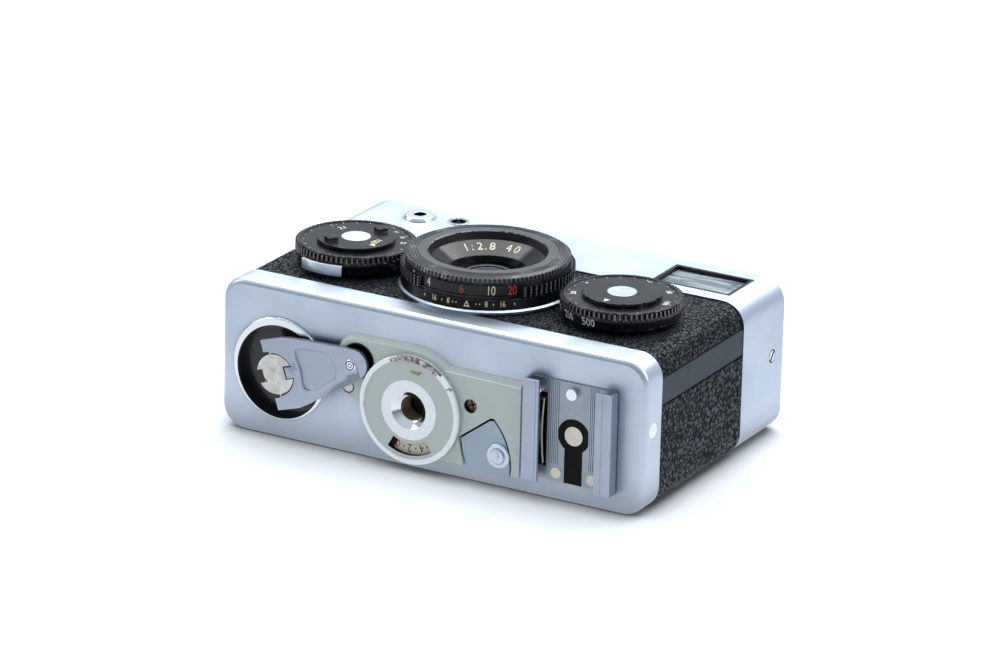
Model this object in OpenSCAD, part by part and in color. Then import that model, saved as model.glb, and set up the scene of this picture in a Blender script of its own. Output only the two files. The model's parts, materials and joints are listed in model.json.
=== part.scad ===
// Compact 35 mm viewfinder camera, lying on its back with the lens up.
// X is the width, +Y points to the top plate, +Z is the lens direction.
// The origin is the middle of the back face that the camera rests on.

/* [Body] */
// Width of the body, end to end
body_w = 97; // [95:0.5:99]
// Height of the body, base plate to top plate
body_h = 60; // [59:0.5:61]
// Depth of the body, back leather to front leather
body_d = 32.4; // [32:0.1:33]
// Radius of the four long edges
corner_r = 5; // [4.5:0.1:5.5]
// Fillet at the ends of the base and top shells
edge_r = 1.3; // [1:0.1:1.5]
// Height of the base shell's rim
base_rim = 6.35; // [6:0.05:7]
// Height of the top shell
top_rim = 18.9; // [18.5:0.1:19.5]
// Sheet thickness of the shells
skin = 1.0; // [0.8:0.1:1]
// Thickness of the leather
leather = 0.6; // [0.5:0.1:0.7]

/* [Lens] */
// Radius of the chrome base ring
base_ring_r = 17.9; // [17.5:0.1:18.2]
// Radius of the focusing grips
focus_r = 17.6; // [17.4:0.05:17.7]
// Radius of the toothed front bezel
bezel_r = 16.7; // [16.4:0.1:16.9]
// Radius of the filter thread
filter_r = 12; // [11.8:0.1:12.2]
// Outer radius of the sliding lens tube
tube_r = 14.65; // [14.5:0.05:14.7]
// How far the lens tube slides out
lens_travel = 13.5; // [10:0.5:13.5]

/* [Dials] */
// Distance of each dial from the middle of the body
dial_x = 30.6; // [30.5:0.1:31]
// Radius of the knurled edge
dial_r = 12.35; // [12.2:0.05:12.4]
// Teeth round a dial
dial_teeth = 72; // [48:4:72]

/* [Base plate] */
// Radius of the tripod socket's bore, for a 1/4"-20 thread
socket_r = 2.6; // [2.5:0.05:2.7]
// Radius of the round boss that carries the tripod socket
boss_r = 11.35; // [11:0.05:11.5]
// Height of the raised panel above the plate
panel_t = 1.1; // [0.9:0.1:1.1]
// Angle of the folded rewind crank from the long side
crank_angle = 17.5; // [17:0.5:18]
// Distance from the crank's hinge to its knob
crank_reach = 18.5; // [18.4:0.1:18.6]
// Gap between the lips of the accessory shoe
shoe_gap = 12.7; // [12.5:0.05:12.7]
// Width inside the accessory shoe's rails
shoe_inside = 18.6; // [18.6:0.05:18.8]

/* [Hidden] */
$fn = 64;

eps = 0.01;
fit = 0.06;              // radial clearance of a running fit
gap = 0.3;               // clearance of parts that move past each other
base_y = -body_h / 2;    // outer face of the base plate
top_y = body_h / 2;      // outer face of the top plate
rim_y = base_y + base_rim;
cap_y = top_y - top_rim;
seam = 0.12;             // gap at the seams between skins
side_x = body_w / 2;

// Sides of the body, from the back towards the lens
band_z0 = 21.74;
band_z1 = 27.35;

// Lens
lens = [-0.5, -6.7];
ring_top = body_d + 0.8;
scale_top = 35.4;
grip_top = 38.1;
bezel_top = 39.9;
glass_r = 6.5;
glass_curve = 15;        // radius of the front glass's face
thread_z = 38.2;         // inner end of the filter thread
grip_arcs = [[-36.5, 78], [-226, -111.5]];   // angles of the two cut grips
grip_rows = 4;           // rows of studs on a grip

// Dials
dial_y = -7.7;
skirt_z = body_d + 0.4;
dial_z = 36.9;
disc_r = 8;
disc_z = 37.5;
screw_r = 3;
pin_r = 1.5;

// Film path
cartridge = [-33.8, 14.8];
cartridge_r = 12.7;
film_top = 12.5;
film_z = 4.6;
inner_y = base_y + 3;    // nothing of the base reaches past this towards the chassis
deck_y = 19.8;
spool = [39.2, 15];
sprocket_at = [26.4, 11.4];

// Base plate
boss = [-3.5, 13.05];
lobe = [-16.7, 21.65];   // end of the raised panel, round the knob's pocket
lobe_r = 4.4;
shoulder_r = 13.4;       // part of the panel that is concentric with the boss
pocket = [-16.05, 20.7];
pocket_r = 3.75;
crank = [-34.7, 14.3];
crank_dir = [cos(crank_angle), sin(crank_angle)];
knob = crank + crank_reach * crank_dir;
well_r = 9.85;
arm_y = -31.8;           // height of the crank's hinge line
arm_t = 1.0;
hub_r = 4.2;
latch = [5.74, 4.9];     // pivot, hidden below the panel
latch_reach = 13.2;
latch_button_at = [16.4, 7.1];
window_r = [7, 9.5];     // radii of the counter's window
panel_screw = [9.85, 16.3];
panel_screw_r = 1.43;
lobe_screw = [-18.2, 14.8];
lobe_screw_r = 1.25;
shoe = [32.45, 14.85];
shoe_l = 21.2;
shoe_t = 0.35;
keyhole = [32.8, 14.4];
stop_pin = [32.5, 23.3];
shoe_rivets = [[29, 6], [37, 6]];

// Front of the top shell, in X and Y
finder = [34.35, 20.05];             // middle of the viewfinder window
finder_w = 17.9;
finder_h = 11.3;
cell = [-33, 22.4];                  // light cell of the meter
sync = [-24.9, 24.3];                // flash socket
end_screw = [24.3, 17.5];            // screw in each end of the top shell, in Y and Z
end_rivet = [-26.9, 17.7];           // rivet in each end of the base shell

// Top plate, in X and Z
shutter_at = [-31.5, 17.5];
release_at = [-19.5, 22.5];
unlock_at = [17.5, 24];
wind_at = [34.5, 16.2];
meter_at = [0, 17.5];
needle_at = [0, 13.2];

// ---- shared forms ----

// Extrudes a profile drawn in X and Z from y0 to y1
module along_y(y0, y1) {
    translate([0, y1, 0]) rotate([90, 0, 0]) linear_extrude(y1 - y0) children();
}

// Rod along Y at a place given in X and Z
module rod_y(at, r, y0, y1) {
    translate([at[0], y1, at[1]]) rotate([90, 0, 0]) cylinder(r = r, h = y1 - y0);
}

// Revolves a profile about a line along Y; heights run outwards from the base plate
module turned_y(at, y) {
    translate([at[0], y, at[1]]) rotate([90, 0, 0]) rotate_extrude() children();
}

// Rectangle with round corners, centred on the origin
module round_rect(w, h, r) {
    square([w - 2 * r, h], center = true);
    square([w, h - 2 * r], center = true);
    for (x = [-1, 1], y = [-1, 1])
        translate([x * (w / 2 - r), y * (h / 2 - r)]) circle(r);
}

// Cross-section of the body, in X and Z, drawn in by an inset
module section(inset = 0) {
    translate([0, body_d / 2])
        round_rect(body_w - 2 * inset, body_d - 2 * inset, corner_r - inset);
}

// Band of the body's cross-section between two insets and two heights
module skin_band(outer, inner, z0, z1) {
    intersection() {
        difference() { section(outer); section(inner); }
        translate([-body_w, z0]) square([2 * body_w, z1 - z0]);
    }
}

// Round post with a filleted end
module filleted_post(h) {
    arc = [for (i = [0:6]) let (a = i * 15)
        [corner_r - edge_r + edge_r * cos(a), h - edge_r + edge_r * sin(a)]];
    rotate_extrude($fn = 48) polygon(concat([[0, 0], [corner_r, 0]], arc, [[0, h]]));
}

// Solid block of a shell, standing along Z, with one filleted end
module shell_block(h) {
    hull() for (x = [-1, 1], y = [-1, 1])
        translate([x * (body_w / 2 - corner_r), y * (body_d / 2 - corner_r), 0])
            filleted_post(h);
}

// Ring in X and Y, standing along Z
module ring_z(at, r0, r1, z0, z1) {
    translate([at[0], at[1], z0]) difference() {
        cylinder(r = r1, h = z1 - z0);
        translate([0, 0, -1]) cylinder(r = r0, h = z1 - z0 + 2);
    }
}

// Outline of a wheel with fine square teeth
module toothed(r, depth, teeth, share = 0.5) {
    step = 360 / teeth;
    polygon([for (i = [0:teeth - 1], k = [0:3])
        let (a = i * step + [0, share * 0.35, share, share * 1.35][k] * step,
             rr = [r - depth, r, r, r - depth][k])
        [rr * cos(a), rr * sin(a)]]);
}

// Sector between two angles, big enough to cut with
module wedge(a0, a1, r = 40) {
    n = 8;
    polygon(concat([[0, 0]],
        [for (i = [0:n]) let (a = a0 + (a1 - a0) * i / n) [r * cos(a), r * sin(a)]]));
}

// ---- chassis and fixed body ----

module chassis_form() {
    // full-depth casting between the shells
    along_y(inner_y, deck_y + 1.5) intersection() {
        section(2.1);
        union() {
            translate([-20.8, film_z]) square([41.6, body_d]);
            translate([-side_x, cartridge[1]]) square([body_w, body_d]);
        }
    }
    // front plate that carries the leather
    along_y(rim_y + seam, cap_y - seam) intersection() {
        section(leather);
        translate([-side_x, band_z0 + seam]) square([body_w, body_d]);
    }
    // film rails
    for (y = [lens[1] - 16.6, lens[1] + 14.6])
        translate([-20.8, y, film_z - 0.4]) cube([41.6, 2, 0.5]);
}

module chassis() {
    color("#3b3d40") difference() {
        chassis_form();
        // cartridge chamber, open to the back and the end
        rod_y(cartridge, cartridge_r, -40, deck_y);
        along_y(-40, deck_y) {
            translate([-side_x, 0]) square([side_x + cartridge[0] + cartridge_r, cartridge[1]]);
            translate([-side_x, 0]) square([5, band_z0]);
        }
        // take-up chamber
        along_y(-40, film_top) {
            translate([20.8, 0]) square([side_x, 16]);
            translate([24.8, 0]) square([side_x, 22.5]);
            translate([24.8, 16]) circle(4);
        }
        rod_y(sprocket_at, 7.2, -40, film_top);
        // room behind the meter's light cell
        translate([cell[0], cell[1], 28]) cylinder(r = 3, h = 10);
        // room for the viewfinder and the mechanism above the film
        translate([16, film_top + 1.5, 0]) cube([40, 20, body_d]);
        // image gate and the room behind the lens
        translate([lens[0] - 18, lens[1] - 12, 0]) cube([36, 24, 9]);
        translate([lens[0], lens[1], 8]) cylinder(r = tube_r + 0.9, h = 30);
        // dial pins
        for (s = [-1, 1]) translate([s * dial_x, dial_y, 20]) cylinder(r = pin_r, h = 20);
    }
}

module front_leather() {
    color("#1a1a1c") difference() {
        along_y(rim_y + seam, cap_y - seam)
            skin_band(0, leather, band_z1 + seam, body_d + 1);
        translate([lens[0], lens[1], 20]) cylinder(r = base_ring_r - 1.4, h = 30);
        for (s = [-1, 1]) translate([s * dial_x, dial_y, 20]) cylinder(r = 4, h = 30);
    }
}

module side_bands() {
    color("#3d434a") for (s = [-1, 1])
        translate([s * (side_x - leather / 2 - 0.05) - leather / 2 + 0.05,
                   rim_y + seam, band_z0 + seam])
            cube([leather - 0.1, cap_y - rim_y - 2 * seam, band_z1 - band_z0 - 2 * seam]);
}

module top_shell() {
    color("#c4cad2") difference() {
        translate([0, cap_y, body_d / 2]) rotate([-90, 0, 0]) shell_block(top_rim);
        along_y(cap_y - 1, top_y - skin) section(skin);
        // viewfinder window and eyepiece
        translate([finder[0], finder[1], body_d])
            cube([finder_w, finder_h, 8], center = true);
        translate([finder[0], finder[1], 0]) cube([11.4, 9.4, 8], center = true);
        // meter cell and flash socket
        translate([cell[0], cell[1], 25]) cylinder(r = 2.6, h = 20);
        translate([sync[0], sync[1], 25]) cylinder(r = 1.9, h = 20);
        // top plate: buttons, levers and meter window
        rod_y(shutter_at, 3.7, 20, 40);
        rod_y(release_at, 2.1, 20, 40);
        rod_y(wind_at, 3.1, 20, 40);
        rod_y(unlock_at, 1.6, 20, 40);
        translate([meter_at[0], top_y, meter_at[1]]) cube([11, 8, 4.4], center = true);
        // counterbore of each end screw
        for (s = [-1, 1]) translate([s * side_x, end_screw[0], end_screw[1]])
            rotate([0, 90, 0]) cylinder(r = 1.75, h = 0.8, center = true);
    }
}

module shell_screws() {
    color("#b9bcc0") for (s = [-1, 1])
        translate([s * (side_x - 0.4), end_screw[0], end_screw[1]]) rotate([0, s * 90, 0])
            rotate([0, 0, 35]) difference() {
                cylinder(r = 1.75 - eps, h = 0.4);
                translate([0, 0, 0.4]) cube([5, 0.55, 0.5], center = true);
            }
}

module viewfinder_tunnel() {
    color("#151517") difference() {
        translate([finder[0] - 8.4, finder[1] - 5.2, 1.4]) cube([16.8, 10.4, 29.4]);
        translate([finder[0] - 7.6, finder[1] - 4.4, 0]) cube([15.2, 8.8, 40]);
    }
}

module viewfinder_frame() {
    color("#0e0f10") difference() {
        translate([finder[0], finder[1], body_d - 0.75])
            cube([finder_w - 2 * eps, finder_h - 2 * eps, 1.5], center = true);
        translate([finder[0], finder[1], body_d])
            cube([finder_w - 1.5, finder_h - 1.5, 5], center = true);
    }
}

module viewfinder_glass() {
    color("#9fc4bd", 0.5) translate([finder[0], finder[1], body_d - 1.1]) {
        cube([finder_w - 1.6, finder_h - 1.6, 0.6], center = true);
        translate([0.6, 0, -0.25]) cube([10.4, 6.6, 1.3], center = true);
    }
}

module eyepiece() {
    color("#111214") difference() {
        translate([finder[0], finder[1], 0.7]) cube([11.3, 9.3, 1.4], center = true);
        translate([finder[0], finder[1], 0]) cube([8, 6, 1.2], center = true);
    }
}

module meter_cell() {
    color("#cfd3d8") translate([cell[0], cell[1], 0]) difference() {
        union() {
            translate([0, 0, body_d]) cylinder(r1 = 3.55, r2 = 3.1, h = 0.8);
            translate([0, 0, body_d - 3]) cylinder(r = 2.6 - eps, h = 3.1);
        }
        translate([0, 0, body_d - 1.4]) cylinder(r = 1.45, h = 5, $fn = 6);
    }
}

module sync_socket() {
    color("#b8bcc2") translate([sync[0], sync[1], 0]) {
        difference() {
            translate([0, 0, body_d - 3]) cylinder(r = 1.9 - eps, h = 3.05);
            translate([0, 0, body_d - 1.6]) cylinder(r = 1.45, h = 5);
        }
        translate([0, 0, body_d - 1.7]) cylinder(r = 0.55, h = 1.6);
        ring_z([0, 0], 1.7, 2.28, body_d, body_d + 0.2);
    }
}

// ---- top plate ----

module meter_housing() {
    color("#1b1c1e") difference() {
        translate([meter_at[0] - 7, 23, 9.5]) cube([14, 5.6, 13]);
        translate([meter_at[0] - 6, 25, 10.5]) cube([12, 10, 11]);
    }
    color("#1b1c1e") rod_y(needle_at, 0.4, 24, 26.6);
}

module meter_glass() {
    color("#c9d6d6", 0.4)
        translate([meter_at[0], top_y - 0.55, meter_at[1]]) cube([10.98, 0.9, 4.38], center = true);
}

// Balanced pointer: its arm and tail weigh the same about the pin
module meter_needle() {
    color("#b5261e") difference() {
        union() {
            rod_y(needle_at, 1.1, 25.6, 26.2);
            translate([needle_at[0] - 0.25, 25.7, needle_at[1]]) cube([0.5, 0.4, 6.4]);
            translate([needle_at[0] - 1.6, 25.7, needle_at[1] - 1.9]) cube([3.2, 0.4, 1.2]);
        }
        rod_y(needle_at, 0.4 + fit, 20, 30);
    }
}

module shutter_collar() {
    color("#c8ccd2") turned_y(shutter_at, top_y)
        polygon([[3.0 + fit, -0.9], [4.7, -0.9], [5.0, 0], [3.7 - eps, 0],
                 [3.7 - eps, 1.6], [3.0 + fit, 1.6]]);
}

// The button's shaft runs in the collar; its top takes a cable release
module shutter_button() {
    color("#dadde1") turned_y(shutter_at, top_y)
        polygon([[1.25, -3.2], [2.6, -3.2], [3.0, -2.8], [3.0, 3.9], [0, 3.9],
                 [0, -0.8], [1.25, -0.8]]);
}

module lens_release() {
    color("#c8ccd2") turned_y(release_at, top_y)
        polygon([[0, -1.5], [1.7, -1.5], [2.0, -1.2], [2.0, 0.6], [2.0, 3.2], [0, 3.2]]);
}

module rewind_release() {
    reach = 7.8;
    tip = unlock_at + reach * [cos(165), sin(165)];
    color("#c4cad2") difference() {
        union() {
            rod_y(unlock_at, 1.5, top_y - 2, top_y + 0.2);
            along_y(top_y + 0.15, top_y + 1.15) {
                translate(unlock_at) circle(2.6);
                translate(unlock_at) rotate(165)
                    polygon([[0, 1.9], [reach, 1.3], [reach, -1.3], [0, -1.9]]);
            }
            rod_y(tip, 1.3, top_y + 0.15, top_y + 1.9);
        }
        translate([unlock_at[0], top_y + 1.15, unlock_at[1]]) cube([3, 0.6, 0.5], center = true);
    }
}

module advance_lever() {
    color("#c9ced5") {
        rod_y(wind_at, 7.6, top_y + 0.2, top_y + 1.9);
        rod_y(wind_at, 4.2, top_y + 1.8, top_y + 2.4);
        rod_y(wind_at, 3.0, top_y - 3, top_y + 0.3);
        // arm, curved towards the end of the body, with a turned-up thumb tip
        along_y(top_y + 0.2, top_y + 1.9) translate(wind_at) difference() {
            union() {
                translate([1.5, -5]) circle(7.6);
                translate([2.4, -8.6]) circle(5.4);
            }
            translate([-7.2, -10.5]) circle(6.5);
        }
        rod_y(wind_at + [4.4, -10.6], 2.9, top_y + 0.2, top_y + 2.9);
    }
}

// ---- film path ----

module pressure_plate() {
    color("#2a2b2e") {
        translate([-19.6, lens[1] - 17, film_z - 1.6]) cube([39.2, 34, 0.9]);
        for (x = [-14, 10]) translate([x, lens[1] - 15, film_z - 1.9]) cube([4, 30, 0.4]);
        // ears that reach round the chassis at the base end
        for (x = [-12, 8]) translate([x, lens[1] - 20.1, film_z - 1.6]) cube([4, 3.2, 0.9]);
        for (x = [-12, 8]) translate([x, lens[1] - 20.1, film_z - 1.6]) cube([4, 0.7, 1.6 + eps]);
    }
}

module takeup_spool() {
    color("#232427") difference() {
        union() {
            rod_y(spool, 5, inner_y + 1, film_top - gap);
            for (y = [inner_y + 0.6, film_top - 1.4]) rod_y(spool, 6, y, y + 1);
        }
        // slots that catch the film's end
        for (a = [0, 90]) translate([spool[0], -6.7, spool[1]]) rotate([0, a + 30, 0])
            cube([14, 28, 0.7], center = true);
        rod_y(spool, 1.5 + fit, -40, film_top - 4);
        rod_y(spool, 3.4, -22, 8);
    }
}

module sprocket() {
    color("#8b8f94") difference() {
        union() {
            rod_y(sprocket_at, 5.2, inner_y + 1, film_top - gap);
            for (y = [lens[1] - 14.9, lens[1] + 13.3])
                along_y(y, y + 1.6) translate(sprocket_at) sprocket_teeth();
        }
        rod_y(sprocket_at, 1.5 + fit, -40, film_top - 4);
    }
}

// Eight film teeth, each with a slanted flank
module sprocket_teeth() {
    circle(5.8);
    for (i = [0:7]) rotate(i * 45)
        polygon([[5.6, -0.85], [6.8, -0.4], [6.8, 0.4], [5.6, 0.85]]);
}

// ---- lens ----

module lens_base_ring() {
    color("#d9dce0") translate([lens[0], lens[1], 0]) rotate_extrude()
        polygon([[tube_r + fit, 26.5], [tube_r + 0.88, 26.5], [tube_r + 0.88, body_d],
                 [base_ring_r, body_d], [base_ring_r, ring_top - 0.3],
                 [base_ring_r - 0.4, ring_top], [tube_r + fit, ring_top]]);
}

module lens_tube() {
    color("#cfd3d7") ring_z(lens, tube_r - 1, tube_r, 15.5, ring_top + 0.3);
}

// Black body inside the tube: shutter housing and the seat of the focusing ring
module lens_core() {
    color("#151618") translate([lens[0], lens[1], 0]) rotate_extrude()
        polygon([[5.5, 13], [11, 13], [12.2, 14.5], [12.2, 17], [tube_r - 1, 17],
                 [tube_r - 1, ring_top + 0.3], [tube_r, ring_top + 0.3], [15.3, 34.2],
                 [15.3, 35.5], [15.2, 35.5], [15.2, 36.8], [14.2, 36.8], [14.2, 34.5],
                 [8, 34.5], [8, 30], [5.5, 27]]);
}

module depth_scale_ring() {
    color("#121315") translate([lens[0], lens[1], 0]) rotate_extrude()
        polygon([[15.3, ring_top + 0.25], [17.5, ring_top + 0.25], [17.1, scale_top - 0.2],
                 [16.9, scale_top], [15.3, scale_top]]);
}

module rear_glass() {
    color("#a9c2c8", 0.5) translate([lens[0], lens[1], 13.6]) cylinder(r = 5.5 - eps, h = 1.6);
}

// Two grips, each cut into rows of studs
module grips() {
    row = (grip_top - scale_top - 0.5) / grip_rows;
    for (g = grip_arcs) translate([0, 0, scale_top + 0.3]) {
        linear_extrude(grip_rows * row - 0.15) intersection() {
            circle(focus_r - 0.5);
            wedge(g[0], g[1]);
        }
        for (k = [0:grip_rows - 1]) translate([0, 0, k * row])
            linear_extrude(row - 0.15) intersection() {
                toothed(focus_r, 0.6, 88);
                wedge(g[0], g[1]);
            }
    }
}

module focus_ring() {
    color("#131416") translate([lens[0], lens[1], 0]) difference() {
        union() {
            translate([0, 0, scale_top + 0.15])
                cylinder(r = focus_r - 0.9, h = grip_top - scale_top - 0.15);
            translate([0, 0, scale_top + 0.15]) cylinder(r = focus_r - 0.55, h = 0.45);
            grips();
        }
        // seat on the core, then the front cell's room
        translate([0, 0, 30]) cylinder(r = 15.2 + fit, h = 37 - 30);
        translate([0, 0, 36]) cylinder(r = 14, h = 10);
    }
}

// Front ring: toothed edge, turned grooves on its face, filter thread inside
module front_bezel() {
    groove = [for (r = [15.5, 14.9, 14.3], k = [[0.2, 0], [0.1, -0.2], [-0.1, -0.2], [-0.2, 0]])
        [r + k[0], bezel_top + k[1]]];
    color("#101113") translate([lens[0], lens[1], 0]) difference() {
        union() {
            translate([0, 0, grip_top + 0.65]) linear_extrude(0.75) difference() {
                toothed(bezel_r, 0.4, 110);
                circle(bezel_r - 1);
            }
            rotate_extrude() polygon(concat(
                [[14, 37.2], [14, grip_top], [bezel_r - 0.35, grip_top],
                 [bezel_r - 0.35, bezel_top - 0.45], [bezel_r - 0.9, bezel_top]], groove,
                [[filter_r + 0.3, bezel_top], [filter_r, bezel_top - 0.2],
                 [filter_r - 0.1, 37.2]]));
        }
        translate([0, 0, thread_z]) cylinder(r = filter_r, h = 20);
    }
}

// Sloping ring between the filter thread and the front glass, in steps
module name_ring() {
    color("#0e0f11") translate([lens[0], lens[1], 0]) rotate_extrude()
        polygon([[filter_r - 0.12, thread_z], [filter_r - 0.5, thread_z], [8, 36.1],
                 [7.6, 36.1], [7.6, 35.8], [7.2, 35.8], [7.2, 35.5], [6.8, 35.5],
                 [6.8, 35.3], [glass_r, 35.3], [glass_r, 34.6], [filter_r - 0.12, 34.6]]);
}

module front_glass() {
    color("#8fa6c4", 0.5) translate([lens[0], lens[1], 0]) intersection() {
        translate([0, 0, 34.65]) cylinder(r = glass_r - eps, h = 4, $fn = 128);
        translate([0, 0, 36.2 - glass_curve]) sphere(glass_curve, $fn = 160);
    }
}

// ---- dials ----

module dial_seats() {
    color("#17181a") for (s = [-1, 1]) ring_z([s * dial_x, dial_y], pin_r - eps, 4 - eps,
        body_d - leather, skirt_z - 0.05);
}

module dial_screws() {
    color("#c9cdd2") for (s = [-1, 1]) translate([s * dial_x, dial_y, 0]) {
        translate([0, 0, 24]) cylinder(r = pin_r - eps, h = disc_z - 24 - 0.4);
        translate([0, 0, disc_z - 0.5]) difference() {
            cylinder(r = screw_r, h = 0.5);
            for (a = [0, 180]) rotate([0, 0, a + 25]) translate([2, 0, 0.4])
                cylinder(r = 0.35, h = 1);
        }
    }
}

// Dial: a skirt that flares upwards, a toothed rim, and a sunk face for its disc
module dial_form() {
    difference() {
        union() {
            rotate_extrude() polygon([[pin_r + fit, skirt_z], [11.4, skirt_z],
                [11.9, skirt_z + 0.4], [12.4, 35.1], [12.4, 35.4], [12.2, 35.7],
                [11.85, 35.75], [11.85, dial_z - 0.1], [11.7, dial_z], [11.2, dial_z],
                [11, dial_z - 0.25], [pin_r + fit, dial_z - 0.25]]);
            translate([0, 0, 35.7]) linear_extrude(1) difference() {
                toothed(dial_r, 0.45, dial_teeth);
                circle(11.5);
            }
        }
        translate([0, 0, 20]) cylinder(r = pin_r + fit, h = 30);
    }
}

module aperture_dial() { color("#121315") translate([-dial_x, dial_y, 0]) dial_form(); }
module shutter_dial() { color("#121315") translate([dial_x, dial_y, 0]) dial_form(); }

module disc_form() {
    ring_z([0, 0], screw_r + fit, disc_r, dial_z - 0.2, disc_z);
}

module film_speed_disc() {
    color("#17181a") translate([-dial_x, dial_y, 0]) {
        disc_form();
        // two grips to turn it by
        for (a = [62, 242]) rotate([0, 0, a]) translate([5.9, 0, disc_z - eps])
            linear_extrude(0.9) square([2.2, 2], center = true);
    }
}

module film_reminder_disc() {
    color("#17181a") translate([dial_x, dial_y, 0]) difference() {
        disc_form();
        for (k = [0:11]) rotate([0, 0, k * 30]) translate([disc_r, 0, dial_z])
            cylinder(r = 0.35, h = 2);
    }
}

module aperture_lock() {
    color("#ccd1d7") translate([-dial_x, dial_y, body_d + 0.7]) linear_extrude(2.3) intersection() {
        difference() { circle(13.3); circle(12.7); }
        wedge(-115, -72);
    }
}

// ---- base and back, which slide off together ----

module base_shell() {
    color("#c4cad2") difference() {
        translate([0, rim_y, body_d / 2]) rotate([90, 0, 0]) shell_block(base_rim);
        along_y(base_y + skin, rim_y + 1) section(skin);
        rod_y(crank + [0, 0.25], well_r + 0.45, -40, 0);
        rod_y(pocket, pocket_r, -40, 0);
        rod_y(boss, 6.3, -40, 0);
        rod_y(latch, 0.85, -40, 0);
        along_y(-40, 0) spring_slot_outline();
        for (s = [-1, 1]) translate([s * side_x, end_rivet[0], end_rivet[1]])
            rotate([0, 90, 0]) cylinder(r = 1.65, h = 0.8, center = true);
    }
}

module back_cover() {
    color("#8f959c") {
        along_y(rim_y + eps, cap_y - seam) skin_band(leather, 1.8, 0, band_z0 - seam);
        // tongue inside the base shell, and light trap inside the top shell
        along_y(base_y + skin, rim_y + 2 * eps) skin_band(skin, 1.8, 0, band_z0 - seam);
        along_y(cap_y - seam - eps, cap_y + 2) skin_band(1.35, 1.8, 0, band_z0 - seam);
    }
}

module back_leather() {
    color("#161618") along_y(rim_y + seam, cap_y - 2 * seam)
        skin_band(0, leather, 0, band_z0 - 2 * seam);
}

// Points along an arc, counter-clockwise for a1 above a0
function arc(at, r, a0, a1, n = 12) =
    [for (i = [0:n]) let (a = a0 + (a1 - a0) * i / n) at + r * [cos(a), sin(a)]];

// Raised plate: a lobe round the knob pocket, a shoulder concentric with the boss,
// and a straight part that ends at the shoe
module panel_outline() {
    between = boss - lobe;
    // direction of the line that touches the lobe and the shoulder
    lean = atan2(between[1], between[0]) + asin((shoulder_r - lobe_r) / norm(between));
    top_z = 23.5;
    polygon(concat(
        arc(lobe, lobe_r, lean + 90, 184.4),
        [[-20.65, 15.4], [-19.6, 14], [-16.5, 12.6], [-15, 12.1], [-13.5, 9], [boss[0], 3.4],
         [21.2, 3.4], [21.2, top_z]],
        arc(boss, shoulder_r, asin((top_z - boss[1]) / shoulder_r), lean + 90)));
}

// Opening of the latch, struck about its pivot
module latch_opening() {
    intersection() {
        translate(latch) circle(latch_reach + 0.4);
        polygon([[7.4, 9.35], [14.5, 14.65], [25, 14.65], [25, -2], [8.6, -2], [8.6, 3.4],
                 [7.95, 5.95]]);
    }
}

module base_panel() {
    color("#a5afa8") difference() {
        along_y(base_y - panel_t, base_y) panel_outline();
        rod_y(boss, boss_r + eps, -40, 0);
        rod_y(pocket, pocket_r, -40, 0);
        along_y(-40, 0) latch_opening();
        rod_y(panel_screw, panel_screw_r, -40, 0);
        rod_y(lobe_screw, lobe_screw_r, -40, 0);
        // room for the latch's arm, below the face
        along_y(base_y - 0.65, 0) translate(latch) {
            circle(1.9);
            polygon([[0, 1.9], [3.5, 3.9], [4.5, 3.9], [4.5, -3.5], [0, -1.9]]);
        }
    }
}

module socket_boss() {
    color("#a9b2aa") difference() {
        turned_y(boss, base_y) polygon([[0, 0], [boss_r, 0], [boss_r, 2.2], [boss_r - 0.2, 2.45],
            [boss_r - 1, 2.45], [boss_r - 1.1, 2.3], [0, 2.3]]);
        // counter's room, open to the base
        rod_y(boss, 10.1, -31.4, -29);
        rod_y(boss, 6.3, -40, -29);
        // counter window
        along_y(-40, -31) translate(boss) intersection() {
            difference() { circle(window_r[1]); circle(window_r[0]); }
            wedge(-119, -56);
        }
    }
}

module tripod_bush() {
    color("#dfe6ee") turned_y(boss, base_y)
        polygon([[socket_r, -2.6], [6.3 - eps, -2.6], [6.3 - eps, 2.3], [6.2, 2.4],
                 [3.9, 2.4], [2.95, 1.2], [socket_r, 0.9]]);
}

module counter_disc() {
    color("#e7ddc6") difference() {
        rod_y(boss, 9.85, -31.25, -30.65);
        rod_y(boss, 6.3 + fit, -40, -20);
    }
}

// Rim of the well, wider towards the lens
module crank_ring() {
    color("#d5dbe2") difference() {
        turned_y(crank + [0, 0.65], base_y)
            polygon([[9, 0], [10.85, 0], [10.85, 0.25], [10.62, 0.5], [9, 0.5]]);
        rod_y(crank, well_r, -40, 0);
    }
}

module crank_well() {
    color("#101214") difference() {
        rod_y(crank + [0, 0.25], well_r + 0.45 - eps, base_y, -27.4);
        rod_y(crank, well_r, -40, -27.8);
        rod_y(crank, 2 + fit, -40, 0);
    }
}

module knob_pocket() {
    color("#0f1012") difference() {
        rod_y(pocket, pocket_r - eps, base_y - panel_t, -27.1);
        rod_y(pocket, pocket_r - 0.25, -40, -27.6);
        rod_y(boss, boss_r + eps, -40, base_y + eps);
    }
}

// Turning shaft with the hinge disc outside and the film fork inside
module rewind_shaft() {
    color("#d8d2cb") {
        difference() {
            union() {
                rod_y(crank, hub_r, -32.05, -29);
                rod_y(crank, 2, -29.1, -26.2);
                // hinge pins of the crank
                translate([crank[0], arm_y, crank[1]]) rotate([0, -crank_angle, 0])
                    cylinder(r = 0.28, h = 13.2, center = true);
            }
            // notches across the hinge line; the arm's tab lies in one or the other
            translate([crank[0], -32.05, crank[1]]) rotate([0, -crank_angle, 0])
                for (s = [-1, 1]) translate([s * hub_r, 0, 0]) cube([4, 4, 2.8], center = true);
        }
        translate([crank[0], -24.2, crank[1]]) rotate([0, 20, 0]) difference() {
            cube([5.4, 4.4, 1.1], center = true);
            translate([0, 1.6, 0]) cube([2.2, 2, 2], center = true);
        }
    }
}

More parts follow.
